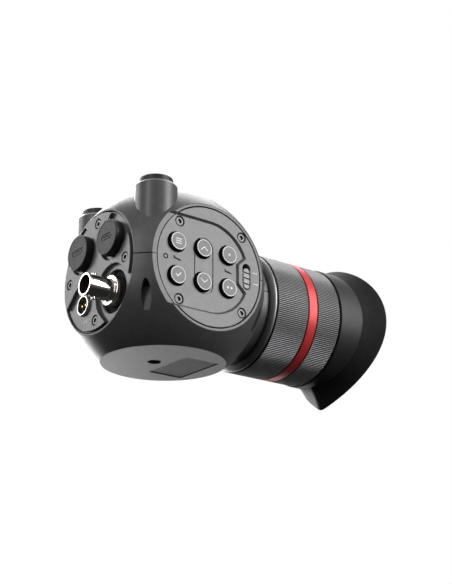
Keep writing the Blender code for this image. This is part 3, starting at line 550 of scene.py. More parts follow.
def key_field_outline(margin=0.0):
    """Recessed key field: straight to the port side, round to the tube, notched at the switch."""
    radius = KEY_FIELD_RADIUS + margin
    notch_rim = 8.0 * MM - margin / 2
    notch_half = 4.4 * MM - margin / 2
    notch_depth = 14.7 * MM + margin
    corner = math.degrees(math.asin(notch_rim / radius))
    points = [(-SPAN, -radius, 0.0)]
    points += [(x, y, 0.0) for x, y in arc((0.0, 0.0), radius, -90, -corner, 18)[:-1]]
    points += [(radius * math.cos(math.radians(corner)), -notch_rim, 1.6 * MM),
               (notch_depth, -notch_half, 1.2 * MM), (notch_depth, notch_half, 1.2 * MM),
               (radius * math.cos(math.radians(corner)), notch_rim, 1.6 * MM)]
    points += [(x, y, 0.0) for x, y in arc((0.0, 0.0), radius, corner, 90, 18)[1:]]
    points.append((-SPAN, radius, 0.0))
    return rounded(points, 0.0)


def post_places():
    return {side: local(TOP, f"post_pad_{side}") for side in ("left", "right")}


def cavity_profile():
    """Section of the hollow: the ball's inside, cut off above the base and below the top flat."""
    limit = SEAM_HEIGHT - FLOOR_WALL
    rise = math.degrees(math.asin(limit / CAVITY_RADIUS))
    return [(0.0, -limit)] + arc((0.0, 0.0), CAVITY_RADIUS, -rise, rise, 24) + [(0.0, limit)]


def housing_half(name, side):
    """One fine housing shell: side is +1 for the upper half and -1 for the lower."""
    bm = bmesh.new()
    bmesh.ops.create_uvsphere(bm, u_segments=192, v_segments=96, radius=BALL_RADIUS)
    shell = piece(name, bm, TOP)
    neck_end = low("index_ring").y - GAP
    under = axes(X, -Y, -Z, CENTRE)
    cut(shell, flat_tool(KEY, KEY_FACE), flat_tool(SIDE, KEY_FACE), flat_tool(PORT, PORT_FACE),
        flat_tool(TOP, TOP_FLAT), flat_tool(under, SEAM_HEIGHT))

    add(shell, knob("tool", disc(NECK_RADIUS, INNER, neck_end), TUBE, rounding=0.35 * MM))
    if side > 0:
        radius = 9.2 * MM
        edge = 1.5 * MM
        foot = 10 * MM
        profile = [(0.0, foot), (radius, foot), (radius, POST_TOP - edge, 0.4 * MM),
                   (radius - edge, POST_TOP, 0.3 * MM), (0.0, POST_TOP)]
        for centre in post_places().values():
            add(shell, knob("tool", profile, at(TOP, centre), MIDDLE_STEPS))

    seat_radius = PLATE_RADIUS + GAP
    seat_depth = 3.0 * MM
    opening = 23.8 * MM
    tools = [turned("tool", cavity_profile(), TOP, MIDDLE_STEPS)]
    for place, face in ((KEY, KEY_FACE), (SIDE, KEY_FACE), (PORT, PORT_FACE)):
        tools.append(round_cutter(seat_radius, face - seat_depth, face, place, 0.12 * MM,
                                  FINE_STEPS))
        tools.append(round_cutter(opening, INNER, face - seat_depth + MM, place, 0.0))
    flared = TUBE_BORE + 0.8 * MM
    tools.append(turned("tool", [(0.0, INNER), (TUBE_BORE, INNER),
                                 (TUBE_BORE, neck_end - 0.2 * MM), (flared, neck_end + 0.6 * MM),
                                 (flared, SPAN), (0.0, SPAN)], TUBE))
    layers = []
    for margin, height in ((-0.5, KEY_FACE - KEY_RECESS), (0.5, KEY_FACE),
                           (1.0, KEY_FACE + KEY_RECESS / 2)):
        half_step = KEY_FIELD_RADIUS + margin * FIELD_SLOPE
        layers.append(([(-SPAN, -half_step), (0.0, -half_step), (0.0, half_step),
                        (-SPAN, half_step)], height))
    tools.append(stacked("tool", layers, KEY))
    groove_rim = BALL_RADIUS + 0.3 * MM
    tools.append(turned("tool", [(BALL_RADIUS - 0.35 * MM, 0.0), (groove_rim, -0.5 * MM),
                                 (groove_rim, 0.5 * MM)], TOP, FINE_STEPS))
    half = rectangle((0.0, 0.0), 2 * SPAN, 2 * SPAN)
    tools.append(prism("tool", half, *sorted((-side * SPAN, side * SEAM_HALF)), TOP))
    tools += post_tools() if side > 0 else base_tools() + vent_tools()
    return cut(shell, *tools)


def post_tools():
    """Pad seats and insert bores of the two posts."""
    tools = []
    for centre in post_places().values():
        place = at(TOP, centre)
        tools.append(round_cutter(radius_of("post_pad_left") + 0.2 * MM, POST_TOP - MM, POST_TOP,
                                  place, 0.1 * MM, MIDDLE_STEPS))
        tools.append(round_cutter(radius_of("post_insert_left") + 0.1 * MM, 24 * MM,
                                  POST_TOP - 0.5 * MM, place, 0.0, MIDDLE_STEPS))
    return tools


def base_tools():
    """Tripod hole and label recess, in the base's own frame with its height pointing down."""
    place = at(BASE, local(BASE, "tripod_insert"))
    label = local(BASE, "base_label")
    size = high("base_label") - low("base_label")
    outline = rounded(rectangle(label, size.x + 2 * GAP, size.y + 2 * GAP), 0.6 * MM)
    return [round_cutter(2.8 * MM, -8 * MM, 0.0, place, 0.25 * MM, MIDDLE_STEPS),
            round_cutter(5.0 * MM, -12 * MM, -1.6 * MM, place, 0.0, MIDDLE_STEPS),
            cutter(outline, -0.9 * MM, 0.0, BASE, 0.1 * MM)]


def lens_outline(centre, width, height, steps=32):
    """Upright slot with pointed ends, counter-clockwise."""
    pointedness = 1.25
    points = []
    for i in range(steps):
        angle = math.tau * i / steps
        across = math.copysign(abs(math.cos(angle)) ** pointedness, math.cos(angle))
        points.append((centre[0] + width / 2 * across, centre[1] + height / 2 * math.sin(angle)))
    return points


def vent_tools():
    """Four upright blind slots below the seam, at the corners between the flats."""
    tools = []
    middle_height = -17.0 * MM
    surface = math.sqrt(BALL_RADIUS ** 2 - middle_height ** 2)
    for angle in (45.0, 135.0, 225.0, 315.0):
        turn = math.radians(angle)
        out = Vector((math.cos(turn), math.sin(turn), 0.0))
        side = Vector((-math.sin(turn), math.cos(turn), 0.0))
        place = axes(side, Z, out, CENTRE)
        outline = lens_outline((0.0, middle_height), 4.2 * MM, 13.2 * MM)
        tools.append(cutter(outline, surface - 2.6 * MM, surface + 5 * MM, place, 0.0))
    return tools


# ---- panels ----
def screw_places(face):
    """A face's frame and the CAD names of its four screws."""
    place = {"key": KEY, "side": SIDE, "port": PORT}[face]
    return place, [f"{face}_screw_{i}" for i in (1, 2, 3, 4)]


def screw_tools(face):
    """Counterbores with chamfered mouths, each at its own screw."""
    place, names = screw_places(face)
    tools = []
    for name in names:
        centre = local(place, name)
        head = {"key": high(name).x, "side": -low(name).x, "port": -low(name).y}[face]
        front = head + 0.25 * MM
        tools.append(round_cutter(2.25 * MM, front - 1.2 * MM, front, at(place, centre),
                                  0.2 * MM))
        tools.append(round_cutter(1.2 * MM, INNER, front - MM, at(place, centre), 0.0))
    return tools


def key_plate():
    """Keypad panel with a recessed field, key wells, switch slot, sensor ring and groove."""
    back = low("key_plate").x
    field = KEY_FACE - KEY_RECESS
    rim = PLATE_RADIUS - 0.12 * MM
    plate = knob("keypad_plate", disc(rim, back, KEY_FACE), KEY, rounding=0.25 * MM)
    cut(plate, stacked("tool", [(key_field_outline(-FIELD_SLOPE / 2), field),
                                (key_field_outline(FIELD_SLOPE / 2), KEY_FACE),
                                (key_field_outline(FIELD_SLOPE), KEY_FACE + 0.45 * MM)], KEY))
    tools = [round_cutter(KEY_RADIUS + GAP, INNER, field, at(KEY, local(KEY, key)), 0.35 * MM,
                          MIDDLE_STEPS) for key in KEYS]
    slot = local(KEY, "lock_slider")
    slot_outline = stadium((slot.x, slot.y + SLIDER_TRAVEL / 2), 4.0 * MM, 11.6 * MM)
    tools.append(cutter(slot_outline, INNER, KEY_FACE, KEY, 0.2 * MM))
    tools.append(tube("tool", sleeve(0.7 * MM, 1.2 * MM, field - 0.6 * MM, field + MM),
                      at(KEY, SENSOR_PLACE), SMALL_STEPS, 0.0))
    up = local(KEY, "up_button")
    groove = stadium((up.x + 0.75 * MM, 0.0), 10.0 * MM, 25.4 * MM, 24)
    tools.append(band("tool", groove, 0.5 * MM, field - 0.35 * MM, field + MM, KEY))
    cut(plate, *tools)
    cut(plate, *screw_tools("key"))
    dress(plate, "housing", "panel", LIGHTER_PANEL_PAINT, "key_plate")
    wells = [(local(KEY, key), KEY_RADIUS + 0.75 * MM) for key in KEYS]
    wells.append((Vector((*SENSOR_PLACE, 0.0)), 1.3 * MM))
    inverse = KEY.inverted()

    def in_shaded_well(face):
        spot = inverse @ face.center
        return spot.z < field - 0.03 * MM and any(
            math.hypot(spot.x - centre.x, spot.y - centre.y) < radius for centre, radius in wells)

    # Painted shade: the walls and floors of the key wells and the sensor well are near black.
    second_finish(plate, FLOCK_AND_PAINTED_SHADE, in_shaded_well)


def side_plate():
    """Blank cover with a shallow recess and a fine groove."""
    plate = knob("blank_side_plate", disc(PLATE_RADIUS, -high("side_cover").x, KEY_FACE), SIDE,
                 rounding=0.25 * MM)
    recess = round_cutter(16.2 * MM, KEY_FACE - KEY_RECESS, KEY_FACE, SIDE, 0.3 * MM, FINE_STEPS)
    groove = tube("tool", sleeve(12.6 * MM, 13.0 * MM, KEY_FACE - 1.15 * MM, KEY_FACE), SIDE,
                  rounding=0.0)
    cut(plate, recess, groove, *screw_tools("side"))
    dress(plate, "housing", "panel", LIGHTER_PANEL_PAINT, "side_cover")


def channel_outline(centre, radius):
    """Round pocket that opens outwards across the panel's edge, at 45 degrees."""
    x, y = centre[:2]
    heading = math.degrees(math.atan2(math.copysign(1, y), math.copysign(1, x)))
    points = arc((x, y), radius, heading + 90, heading + 270, 28)
    out = Vector((math.cos(math.radians(heading)), math.sin(math.radians(heading)))) * SPAN / 2
    first = (points[0][0] + out.x, points[0][1] + out.y)
    last = (points[-1][0] + out.x, points[-1][1] + out.y)
    return [first] + points + [last]


def port_plate():
    """Connector panel with four pockets open to its edge, and a through hole in each."""
    back = -high("port_panel").y
    lip = PORT_FLOOR - 0.1 * MM
    step = PLATE_RADIUS - 0.6 * MM
    plate = knob("connector_panel", [(0.0, back), (PLATE_RADIUS, back), (PLATE_RADIUS, lip),
                                     (step, lip), (step, PLATEAU), (0.0, PLATEAU)], PORT,
                 rounding=0.15 * MM)
    cut(plate, *[cutter(channel_outline(local(PORT, name), radius), PORT_FLOOR, PLATEAU, PORT,
                        0.2 * MM) for name, radius in CHANNELS.items()])
    tools = []
    for name, width, height, corner in (("video_socket", 15.0, 5.8, 0.8),
                                        ("data_socket", 9.8, 4.0, 1.9)):
        hole = rounded(rectangle(local(PORT, name), width * MM, height * MM), corner * MM)
        tools.append(cutter(hole, INNER, PORT_FLOOR, PORT))
    for name, radius, flare in (("coax_jack", 9.2, 0.35), ("power_socket", 4.7, 0.2)):
        tools.append(round_cutter(radius * MM, INNER, PORT_FLOOR, at(PORT, local(PORT, name)),
                                  flare * MM, MIDDLE_STEPS))
    cut(plate, *tools, *screw_tools("port"))
    dress(plate, "housing", "panel", LIGHTER_PORT_PAINT, "port_panel")


def screws():
    """Socket-head screws: one shape, copied to each CAD screw and turned a little."""
    head = 1.9 * MM
    thickness = 0.85 * MM
    length = 5.6 * MM
    model = knob("screw_model", [(0.0, -length), (1.0 * MM, -length), (1.0 * MM, -thickness),
                                 (head, -thickness), (head, 0.0), (0.0, 0.0)],
                 Matrix.Identity(4), SMALL_STEPS)
    socket = arc((0.0, 0.0), 1.02 * MM, 0, 300, 5)
    cut(model, cutter(socket, -0.8 * MM, 0.0, Matrix.Identity(4), 0.1 * MM))
    for face in ("key", "side", "port"):
        place, names = screw_places(face)
        for i, name in enumerate(names):
            centre = place.inverted() @ middle(name)
            top = centre.z + length / 2
            screw = bpy.data.objects.new(f"{face}_panel_screw_{i + 1}", model.data.copy())
            screw.data.transform(at(place, centre, top) @ Matrix.Rotation(0.4 + i, 4, "Z"))
            bpy.context.scene.collection.objects.link(screw)
            dress(screw, "housing", "screw_steel", DARK_STEEL, name)
    bpy.data.objects.remove(model, do_unlink=True)


# ---- keys ----
STROKE = 0.42 * MM


def mark(outline, place, top):
    """Thin flat shape, sunk a little into its face: print, and on the key field painted shade."""
    return prism("mark", outline, top - 0.05 * MM, top + 0.03 * MM, place)


def bar(x, y, width, height, place, top):
    return mark(rectangle((x, y), width, height), place, top)


def chevron(sign, place, top):
    """Open arrowhead that points up or down."""
    half = 1.75 * MM
    rise = 0.75 * MM * sign
    width = STROKE * 1.35
    outline = [(-half, -rise), (0.0, rise), (half, -rise), (half, -rise - width * sign),
               (0.0, rise - width * sign), (-half, -rise - width * sign)]
    if sign > 0:
        outline.reverse()
    return mark(outline, place, top)


def key_marks(name, place, top):
    """Generic printed marks: bars, a tick, chevrons, and one or two dots."""
    if name == "menu_button":
        return [bar(0.0, y * MM, 3.0 * MM, STROKE, place, top) for y in (-1.0, 0.0, 1.0)]
    if name == "ok_button":
        tick = [(-1.5, 0.1), (-1.15, 0.5), (-0.45, -0.25), (1.25, 1.35), (1.6, 0.95),
                (-0.45, -1.1)]
        return [mark([(x * MM, y * MM) for x, y in reversed(tick)], place, top)]
    if name in ("up_button", "down_button"):
        return [chevron(1 if name == "up_button" else -1, place, top)]
    dots = (0.0,) if name == "function_button_1" else (-0.95 * MM, 0.95 * MM)
    return [mark(arc((x, 0.0), 0.55 * MM, 0, 345, 23), place, top) for x in dots]


def keys():
    """Key caps with a flange behind the plate, a printed ring and a printed mark each."""
    flange_radius = 4.7 * MM
    circle = arc((0.0, 0.0), 3.72 * MM, 0, 356.25, 95)
    for name in KEYS:
        place = at(KEY, local(KEY, name))
        back = low(name).x
        flange = back + MM
        top = high(name).x - 0.06 * MM
        profile = [(0.0, back), (flange_radius, back), (flange_radius, flange, 0.1 * MM),
                   (KEY_RADIUS, flange, 0.0), (KEY_RADIUS, top, 0.2 * MM), (0.0, top)]
        cap = knob(name.replace("button", "key"), profile, place, MIDDLE_STEPS)
        # The key's sides and flange take the near-black painted shade; only its top takes the key
        # plastic.
        dress(cap, name, "key", KEY_SIDE_SHADE, name)
        second_finish(cap, KEY_TOP, lambda face: face.center.x > top - 0.01 * MM)
        ring = band("mark", circle, 0.36 * MM, top - 0.05 * MM, top + 0.05 * MM, place)
        marks = joined(name.replace("button", "mark"), [ring] + key_marks(name, place, top))
        dress(marks, name, "key", PRINT)


def slider():
    """Ribbed thumb piece of the lock switch."""
    centre = local(KEY, "lock_slider")
    back = low("lock_slider").x
    top = high("lock_slider").x
    saddle = top - 0.75 * MM
    body = prism("lock_thumb", stadium((centre.x, centre.y), 3.4 * MM, 9.4 * MM), back + 0.2 * MM,
                 top, KEY, 0.35 * MM)
    add(body, prism("tool", rectangle(centre, 5.4 * MM, 10.4 * MM), back, back + 1.1 * MM, KEY))
    grooves = []
    lean = 0.18 * MM
    for i in (-1, 0, 1):
        groove = [(x, y - lean * math.copysign(1, x - centre.x))
                  for x, y in rectangle((centre.x, centre.y + i * 2.5 * MM), 6 * MM, 0.6 * MM)]
        grooves.append(cutter(groove, saddle, top, KEY, 0.12 * MM))
    cut(body, *grooves)
    dress(body, "lock_slider", "key", SLIDER_FINISH, "lock_slider")


def face_marks():
    """Printed marks beside the switch and under the power socket, and near-black ticks on the key
    field that are painted shade for small engraved ticks.
    """
    top = KEY_FACE + 0.02 * MM
    marks = []
    for y, z in ((23.3 * MM, 2.2 * MM), (23.6 * MM, -2.7 * MM)):
        marks.append(bar(y, z, 1.5 * MM, 0.4 * MM, KEY, top))
        marks.append(mark(arc((y + 1.25 * MM, z), 0.36 * MM, 0, 340, 17), KEY, top))
    dress(joined("switch_marks", marks), "housing", "key", PRINT)
    field = KEY_FACE - KEY_RECESS + 0.02 * MM
    # painted shade: flat near-black strokes stand for the shade of the engraved ticks
    tick_shade_strokes = []
    for y in (-16.6 * MM, 9.85 * MM):
        tick = [(y - 1.8 * MM, 0.0), (y + 1.8 * MM, -0.6 * MM), (y + 1.8 * MM, 0.0),
                (y - 1.2 * MM, 0.55 * MM), (y - 1.2 * MM, 1.2 * MM), (y - 1.8 * MM, 1.2 * MM)]
        tick_shade_strokes.append(mark(tick, KEY, field))
    dress(joined("key_field_tick_shades", tick_shade_strokes), "housing", "panel", FLOCK_AND_PAINTED_SHADE)
    power = local(PORT, "power_socket")
    floor = PORT_FLOOR + 0.02 * MM
    marks = [bar(power.x + x * MM, power.y - 7.3 * MM, 0.45 * MM, 1.1 * MM, PORT, floor)
             for x in (-1.8, -0.6, 0.6, 1.8)]
    dress(joined("power_marks", marks), "housing", "panel", PRINT)


# ---- ports ----
def cap_outline(name, centre):
    """Plain outline of the socket that a cap covers."""
    if name == "video_cap":
        points = [(-4.2, 1.3), (-4.2, -0.2), (-2.9, -1.5), (2.9, -1.5), (4.2, -0.2), (4.2, 1.3)]
        shape = [(centre[0] + x * MM, centre[1] + y * MM) for x, y in points]
        return rounded(shape, 0.35 * MM)
    return rounded(rectangle(centre, 7.4 * MM, 2.8 * MM), 1.35 * MM)


def caps():
    """Rubber caps with a raised rim, a sunk socket outline and the plug behind; the face is lighter
    rubber, the sides and outline groove near black as painted shade.
    """
    for name, socket in (("video_cap", "video_socket"), ("data_cap", "data_socket")):
        centre = local(PORT, name)
        radius = radius_of(name)
        top = -low(name).y
        face = top - 0.12 * MM
        foot = PORT_FLOOR + GAP
        profile = [(0.0, foot), (radius - 0.4 * MM, foot), (radius, foot + 0.8 * MM),
                   (radius, top, 0.7 * MM), (radius - 0.9 * MM, top, 0.25 * MM),
                   (radius - 1.1 * MM, face, 0.2 * MM), (0.0, face)]
        cap = knob(name.replace("cap", "dust_cap"), profile, at(PORT, centre), MIDDLE_STEPS)
        size = high(socket) - low(socket)
        plug = rounded(rectangle(centre, size.x - 1.8 * MM, size.z - 1.8 * MM), 0.4 * MM)
        inner_bar = rectangle((centre.x, centre.y + 0.1 * MM), 4.6 * MM, 0.5 * MM)
        sunk = face - 0.25 * MM
        add(cap, prism("tool", plug, -high(name).y, foot + MM, PORT))
        cut(cap, band("tool", cap_outline(name, centre), 0.5 * MM, sunk, face + MM, PORT),
            prism("tool", inner_bar, sunk, face + MM, PORT))
        dress(cap, name, "rubber", RUBBER, name)
        # Painted shade: only the cap face is lighter, its sides and sunk outline stay near black.
        second_finish(cap, CAP_RUBBER, lambda polygon: polygon.normal.y < -0.8
                      and -polygon.center.y > face - 0.05 * MM)


def sockets():
    """Hollow metal socket shells, seen when the caps are off."""
    for name in ("video_socket", "data_socket"):
        size = high(name) - low(name)
        front = -low(name).y
        corner = 0.7 * MM if name == "video_socket" else 1.6 * MM
        outline = rounded(rectangle(local(PORT, name), size.x, size.z), corner)
        shell = prism(name.replace("socket", "receptacle"), outline, -high(name).y, front, PORT,
                      0.1 * MM)
        cut(shell, cutter(offset(outline, -0.45 * MM), front - 6.5 * MM, front, PORT, 0.12 * MM))
        dress(shell, "housing", "screw_steel", STEEL, name)


def coax():
    """Bayonet jack with a lipped barrel, two lugs and a stepped collar."""
    place = at(PORT, local(PORT, "coax_jack"))
    front = -low("coax_jack").y
    foot = -high("coax_jack").y
    barrel = 4.83 * MM
    bore = 4.05 * MM
    collar = 6.6 * MM
    base = PLATEAU + 0.9 * MM
    lip = front - 1.1 * MM
    lug_height = front - 4.5 * MM
    waist = barrel - 0.15 * MM
    profile = [(3.4 * MM, foot), (collar, foot), (collar, base, 0.5 * MM),
               (waist, base + 0.2 * MM, 0.3 * MM), (waist, lip - 0.6 * MM),
               (barrel, lip, 0.1 * MM), (barrel, front, 0.15 * MM), (bore, front, 0.1 * MM),
               (bore, PLATEAU), (3.4 * MM, PLATEAU)]
    jack = tube("bayonet_jack", profile, place, MIDDLE_STEPS)
    lugs = []
    for side in (1, -1):
        turn = Matrix.Translation((0, 0, lug_height)) @ Matrix.Rotation(-side * math.pi / 2, 4, "X")
        lugs.append(knob("tool", disc(1.0 * MM, 4.3 * MM, barrel + 0.9 * MM), place @ turn,
                         SMALL_STEPS))
    add(jack, *lugs)
    dress(jack, "housing", "nickel", NICKEL, "coax_jack")
    inverse = place.inverted()

    def in_shaded_bore(face):
        spot = inverse @ face.center
        return math.hypot(spot.x, spot.y) < bore + 0.1 * MM and spot.z < front - 0.5 * MM

    # Painted shade: the jack's bore is dark.
    second_finish(jack, BORE, in_shaded_bore)
    pin_hole = 0.95 * MM
    outer = 3.1 * MM
    cup = 2.4 * MM
    top = lug_height
    insulator = tube("jack_insulator",
                     [(pin_hole, foot), (outer, foot), (outer, top), (cup, top),
                      (cup, top - 3.5 * MM), (pin_hole, top - 3.5 * MM)], place,
                     SMALL_STEPS, 0.12 * MM)
    dress(insulator, "housing", "black_plastic", BLACK, "coax_insulator")
    pin_end = -low("coax_pin").y
    pin = knob("jack_pin", [(0.0, foot - MM), (0.7 * MM, foot - MM), (0.7 * MM, pin_end, 0.3 * MM),
                            (0.0, pin_end)], place, SMALL_STEPS)
    dress(pin, "housing", "gold_contact", GOLD, "coax_pin")
    # Painted shade: a near-black ring closes the bottom of the coax pocket.
    well = tube("coax_pocket_shade_ring", sleeve(6.75 * MM, 9.05 * MM, PORT_FACE - 2.9 * MM,
                                    PORT_FACE - 2.2 * MM), place, MIDDLE_STEPS)
    dress(well, "housing", "black_plastic", FLOCK_AND_PAINTED_SHADE)


def power():
    """Power socket: bright bezel, keyed insert and two contacts."""
    place = at(PORT, local(PORT, "power_socket"))
    radius = radius_of("power_socket")
    front = -low("power_socket").y
    back = -high("power_socket").y
    bore = radius - 0.8 * MM
    ring = tube("power_bezel", [(bore, back), (radius, back), (radius, front, 0.35 * MM),
                                (bore, front, 0.3 * MM)], place, MIDDLE_STEPS)
    dress(ring, "housing", "nickel", NICKEL, "power_socket")
    insert_top = -low("power_insulator").y
    insert = knob("power_insert", disc(bore - 0.2 * MM, back, insert_top), place, SMALL_STEPS)
    key = prism("tool", rectangle((0.0, bore), 1.2 * MM, 1.6 * MM), insert_top - 1.5 * MM,
                insert_top + MM, place)
    cut(insert, key)
    dress(insert, "housing", "black_plastic", BLACK, "power_insulator")
    for i in (1, 2):
        name = f"power_pin_{i}"
        bottom = -high(name).y
        top = -low(name).y
        pin = knob(f"power_contact_{i}", [(0.0, bottom), (0.5 * MM, bottom),
                                          (0.5 * MM, top, 0.25 * MM), (0.0, top)],
                   at(PORT, local(PORT, name)), SMALL_STEPS)
        dress(pin, "housing", "gold_contact", GOLD, name)


# ---- posts and base ----
def threaded(name, cad, place):
    """Ring insert with thread grooves down its bore."""
    bore = 2.6 * MM
    pitch = 1.27 * MM
    inverse = place.inverted()
    bottom, top = sorted(((inverse @ low(cad)).z, (inverse @ high(cad)).z))
    radius = radius_of(cad)
    profile = [(radius, bottom), (radius, top), (bore + 0.8 * MM, top)]
    for i in range(int((top - bottom) / pitch)):
        height = top - 0.8 * MM - i * pitch
        profile += [(bore, height), (bore, height - 0.15 * MM),
                    (bore + 0.55 * MM, height - pitch / 2)]
    profile.append((bore + 0.3 * MM, bottom))
    dress(turned(name, profile, place, MIDDLE_STEPS), "housing", "brass", BRASS, cad)


def posts():
    """Rubber washer and threaded bush of each post."""
    for side, centre in post_places().items():
        name = f"post_pad_{side}"
        place = at(TOP, centre)
        radius = radius_of(name)
        bottom = low(name).z - SEAM_HEIGHT
        top = high(name).z - SEAM_HEIGHT
        hole = 4.2 * MM
        face = top - 0.15 * MM
        profile = [(hole, bottom), (radius, bottom), (radius, top, 0.45 * MM),
                   (radius - 1.2 * MM, top, 0.1 * MM), (radius - 1.4 * MM, face, 0.1 * MM),
                   (hole + 0.6 * MM, face, 0.2 * MM), (hole, top - 0.5 * MM)]
        pad = tube(f"{side}_post_washer", profile, place, MIDDLE_STEPS)
        dress(pad, "housing", "rubber", RUBBER, name)
        threaded(f"{side}_post_bush", f"post_insert_{side}", place)


def base():
    """Threaded bush and label film in the base."""
    threaded("tripod_bush", "tripod_insert", at(BASE, local(BASE, "tripod_insert")))
    label = local(BASE, "base_label")
    size = high("base_label") - low("base_label")
    top = -low("base_label").z
    outline = rounded(rectangle(label, size.x, size.y), 0.5 * MM)
    film = prism("label_plate", outline, top - 0.35 * MM, top, BASE, 0.05 * MM)
    dress(film, "housing", "label", LABEL, "base_label")


# ---- viewing tube ----
def knurled(name, start, end, radius, bore):
    """Grip ring with straight ribs along the tube, chamfered at both ends."""
    ribs = 196
    wave = (0.0, 0.10, 0.5, 0.90, 1.0, 0.90, 0.5, 0.10)
    count = ribs * len(wave)
    chamfer = 0.25 * MM
    run_out = 0.45 * MM
    root = radius - RIB_DEPTH
    rows = [(bore, start, 0.0), (root - chamfer, start, 0.0), (root, start + chamfer, 0.0),
            (root, start + run_out, 1.0), (root, end - run_out, 1.0), (root, end - chamfer, 0.0),
            (root - chamfer, end, 0.0), (bore, end, 0.0)]
    loops = []
    for base_radius, height, share in rows:
        loop = []
        for i in range(count):
            angle = math.tau * i / count
            r = base_radius + RIB_DEPTH * share * wave[i % len(wave)]
            loop.append((r * math.sin(angle), r * math.cos(angle), height))
        loops.append(loop)
    return skin(name, loops, TUBE)


def slope_place(angle, share, foot, rise, run):
    """Frame lying on the index ring's rounded slope: x round the tube, y towards the eye, z out."""
    bend = share * math.pi / 2
    radius = foot[0] + rise * math.sin(bend)
    height = foot[1] + run * (1 - math.cos(bend))
    slope = math.atan2(rise * math.cos(bend), run * math.sin(bend))
    out = Vector((math.sin(angle), 0.0, math.cos(angle)))
    origin = Vector((0.0, height, AXIS_HEIGHT)) + out * radius
    up = (Y * math.cos(slope) + out * math.sin(slope)).normalized()
    normal = (out * math.cos(slope) - Y * math.sin(slope)).normalized()
    return axes(up.cross(normal), up, normal, origin)


def index_ring():
    """Fixed flared ring with a focus scale printed on its slope."""
    start = low("index_ring").y
    end = high("index_ring").y
    rim_radius = radius_of("index_ring")
    rise = rim_radius - NECK_RADIUS
    run = end - start - 0.35 * MM
    slope = []
    for i in range(11):
        bend = math.pi / 2 * i / 10
        slope.append((NECK_RADIUS + rise * math.sin(bend), start + run * (1 - math.cos(bend)),
                      0.0))
    profile = [(TUBE_BORE, start)] + slope + [(rim_radius, end, 0.12 * MM), (TUBE_BORE, end)]
    ring = tube("focus_scale_ring", profile, TUBE)
    dress(ring, "housing", "index_alloy", ALLOY, "index_ring")
    marks = []
    for step in range(-12, 13):
        angle = math.radians(step * 4.0)
        length = 1.3 * MM if step % 3 == 0 else 0.7 * MM
        place = slope_place(angle, 0.45, (NECK_RADIUS, start), rise, run)
        marks.append(prism("mark", rectangle((0.0, 0.0), 0.28 * MM, length), -0.2 * MM,
                           0.05 * MM, place))
    dress(joined("focus_scale_marks", marks), "housing", "index_alloy", PRINT)


def viewing_tube():
    """Fixed barrel, and the focus ring: sleeve, two grips, red ring and pointer."""
    sleeve_radius = 24.2 * MM
    inner_sleeve = tube("focus_inner_sleeve", sleeve(TUBE_BORE, sleeve_radius,
                                                     low("focus_sleeve").y,
                                                     high("focus_sleeve").y), TUBE)
    dress(inner_sleeve, "focus_ring", "black_plastic", BLACK, "focus_sleeve")
    start = low("barrel").y
    end = high("barrel").y
    bore = 19 * MM
    wall = 21 * MM
    flange = 22.1 * MM
    shoulder = start + 1.6 * MM
    barrel = tube("fixed_barrel", [(bore, start), (flange, start), (flange, shoulder),
                                   (wall, shoulder), (wall, end), (bore, end)], TUBE)
    dress(barrel, "housing", "black_plastic", FLOCK_AND_PAINTED_SHADE, "barrel")
    bore = sleeve_radius + GAP
    for name, cad in (("front_knurled_grip", "front_grip"), ("rear_knurled_grip", "rear_grip")):
        grip = knurled(name, low(cad).y, high(cad).y, GRIP_RADIUS, bore)
        dress(grip, "focus_ring", "grip_alloy", GRIP, cad)
    start = low("red_ring").y
    end = high("red_ring").y
    red = tube("red_accent_ring", [(bore, start), (GRIP_RADIUS, start, 0.3 * MM),
                                   (GRIP_RADIUS, end, 0.3 * MM), (bore, end)], TUBE)
    dress(red, "focus_ring", "red_anodised", RED, "red_ring")
    start = low("front_grip").y
    pointer = prism("focus_pointer", rectangle((0.0, start + 1.3 * MM), 0.5 * MM, 2.4 * MM),
                    GRIP_RADIUS - 0.5 * MM, GRIP_RADIUS + 0.06 * MM,
                    axes(X, Y, Z, Vector((0, 0, AXIS_HEIGHT))))
    dress(pointer, "focus_ring", "grip_alloy", PRINT)


def lens(name, cad, radius, body, front_bulge, rear_bulge):
    """Lens with two curved faces and a ground edge."""
    start = low(cad).y + max(front_bulge, 0.0)
    end = high(cad).y - max(rear_bulge, 0.0)
    rows = 10
    radii = [radius * i / rows for i in range(rows + 1)]
    profile = [(r, start - front_bulge * (1 - (r / radius) ** 2)) for r in radii]
    profile += [(r, end + rear_bulge * (1 - (r / radius) ** 2)) for r in reversed(radii)]
    glass = turned(name, profile, TUBE, MIDDLE_STEPS)
    dress(glass, body, "lens_glass", GLASS, cad)


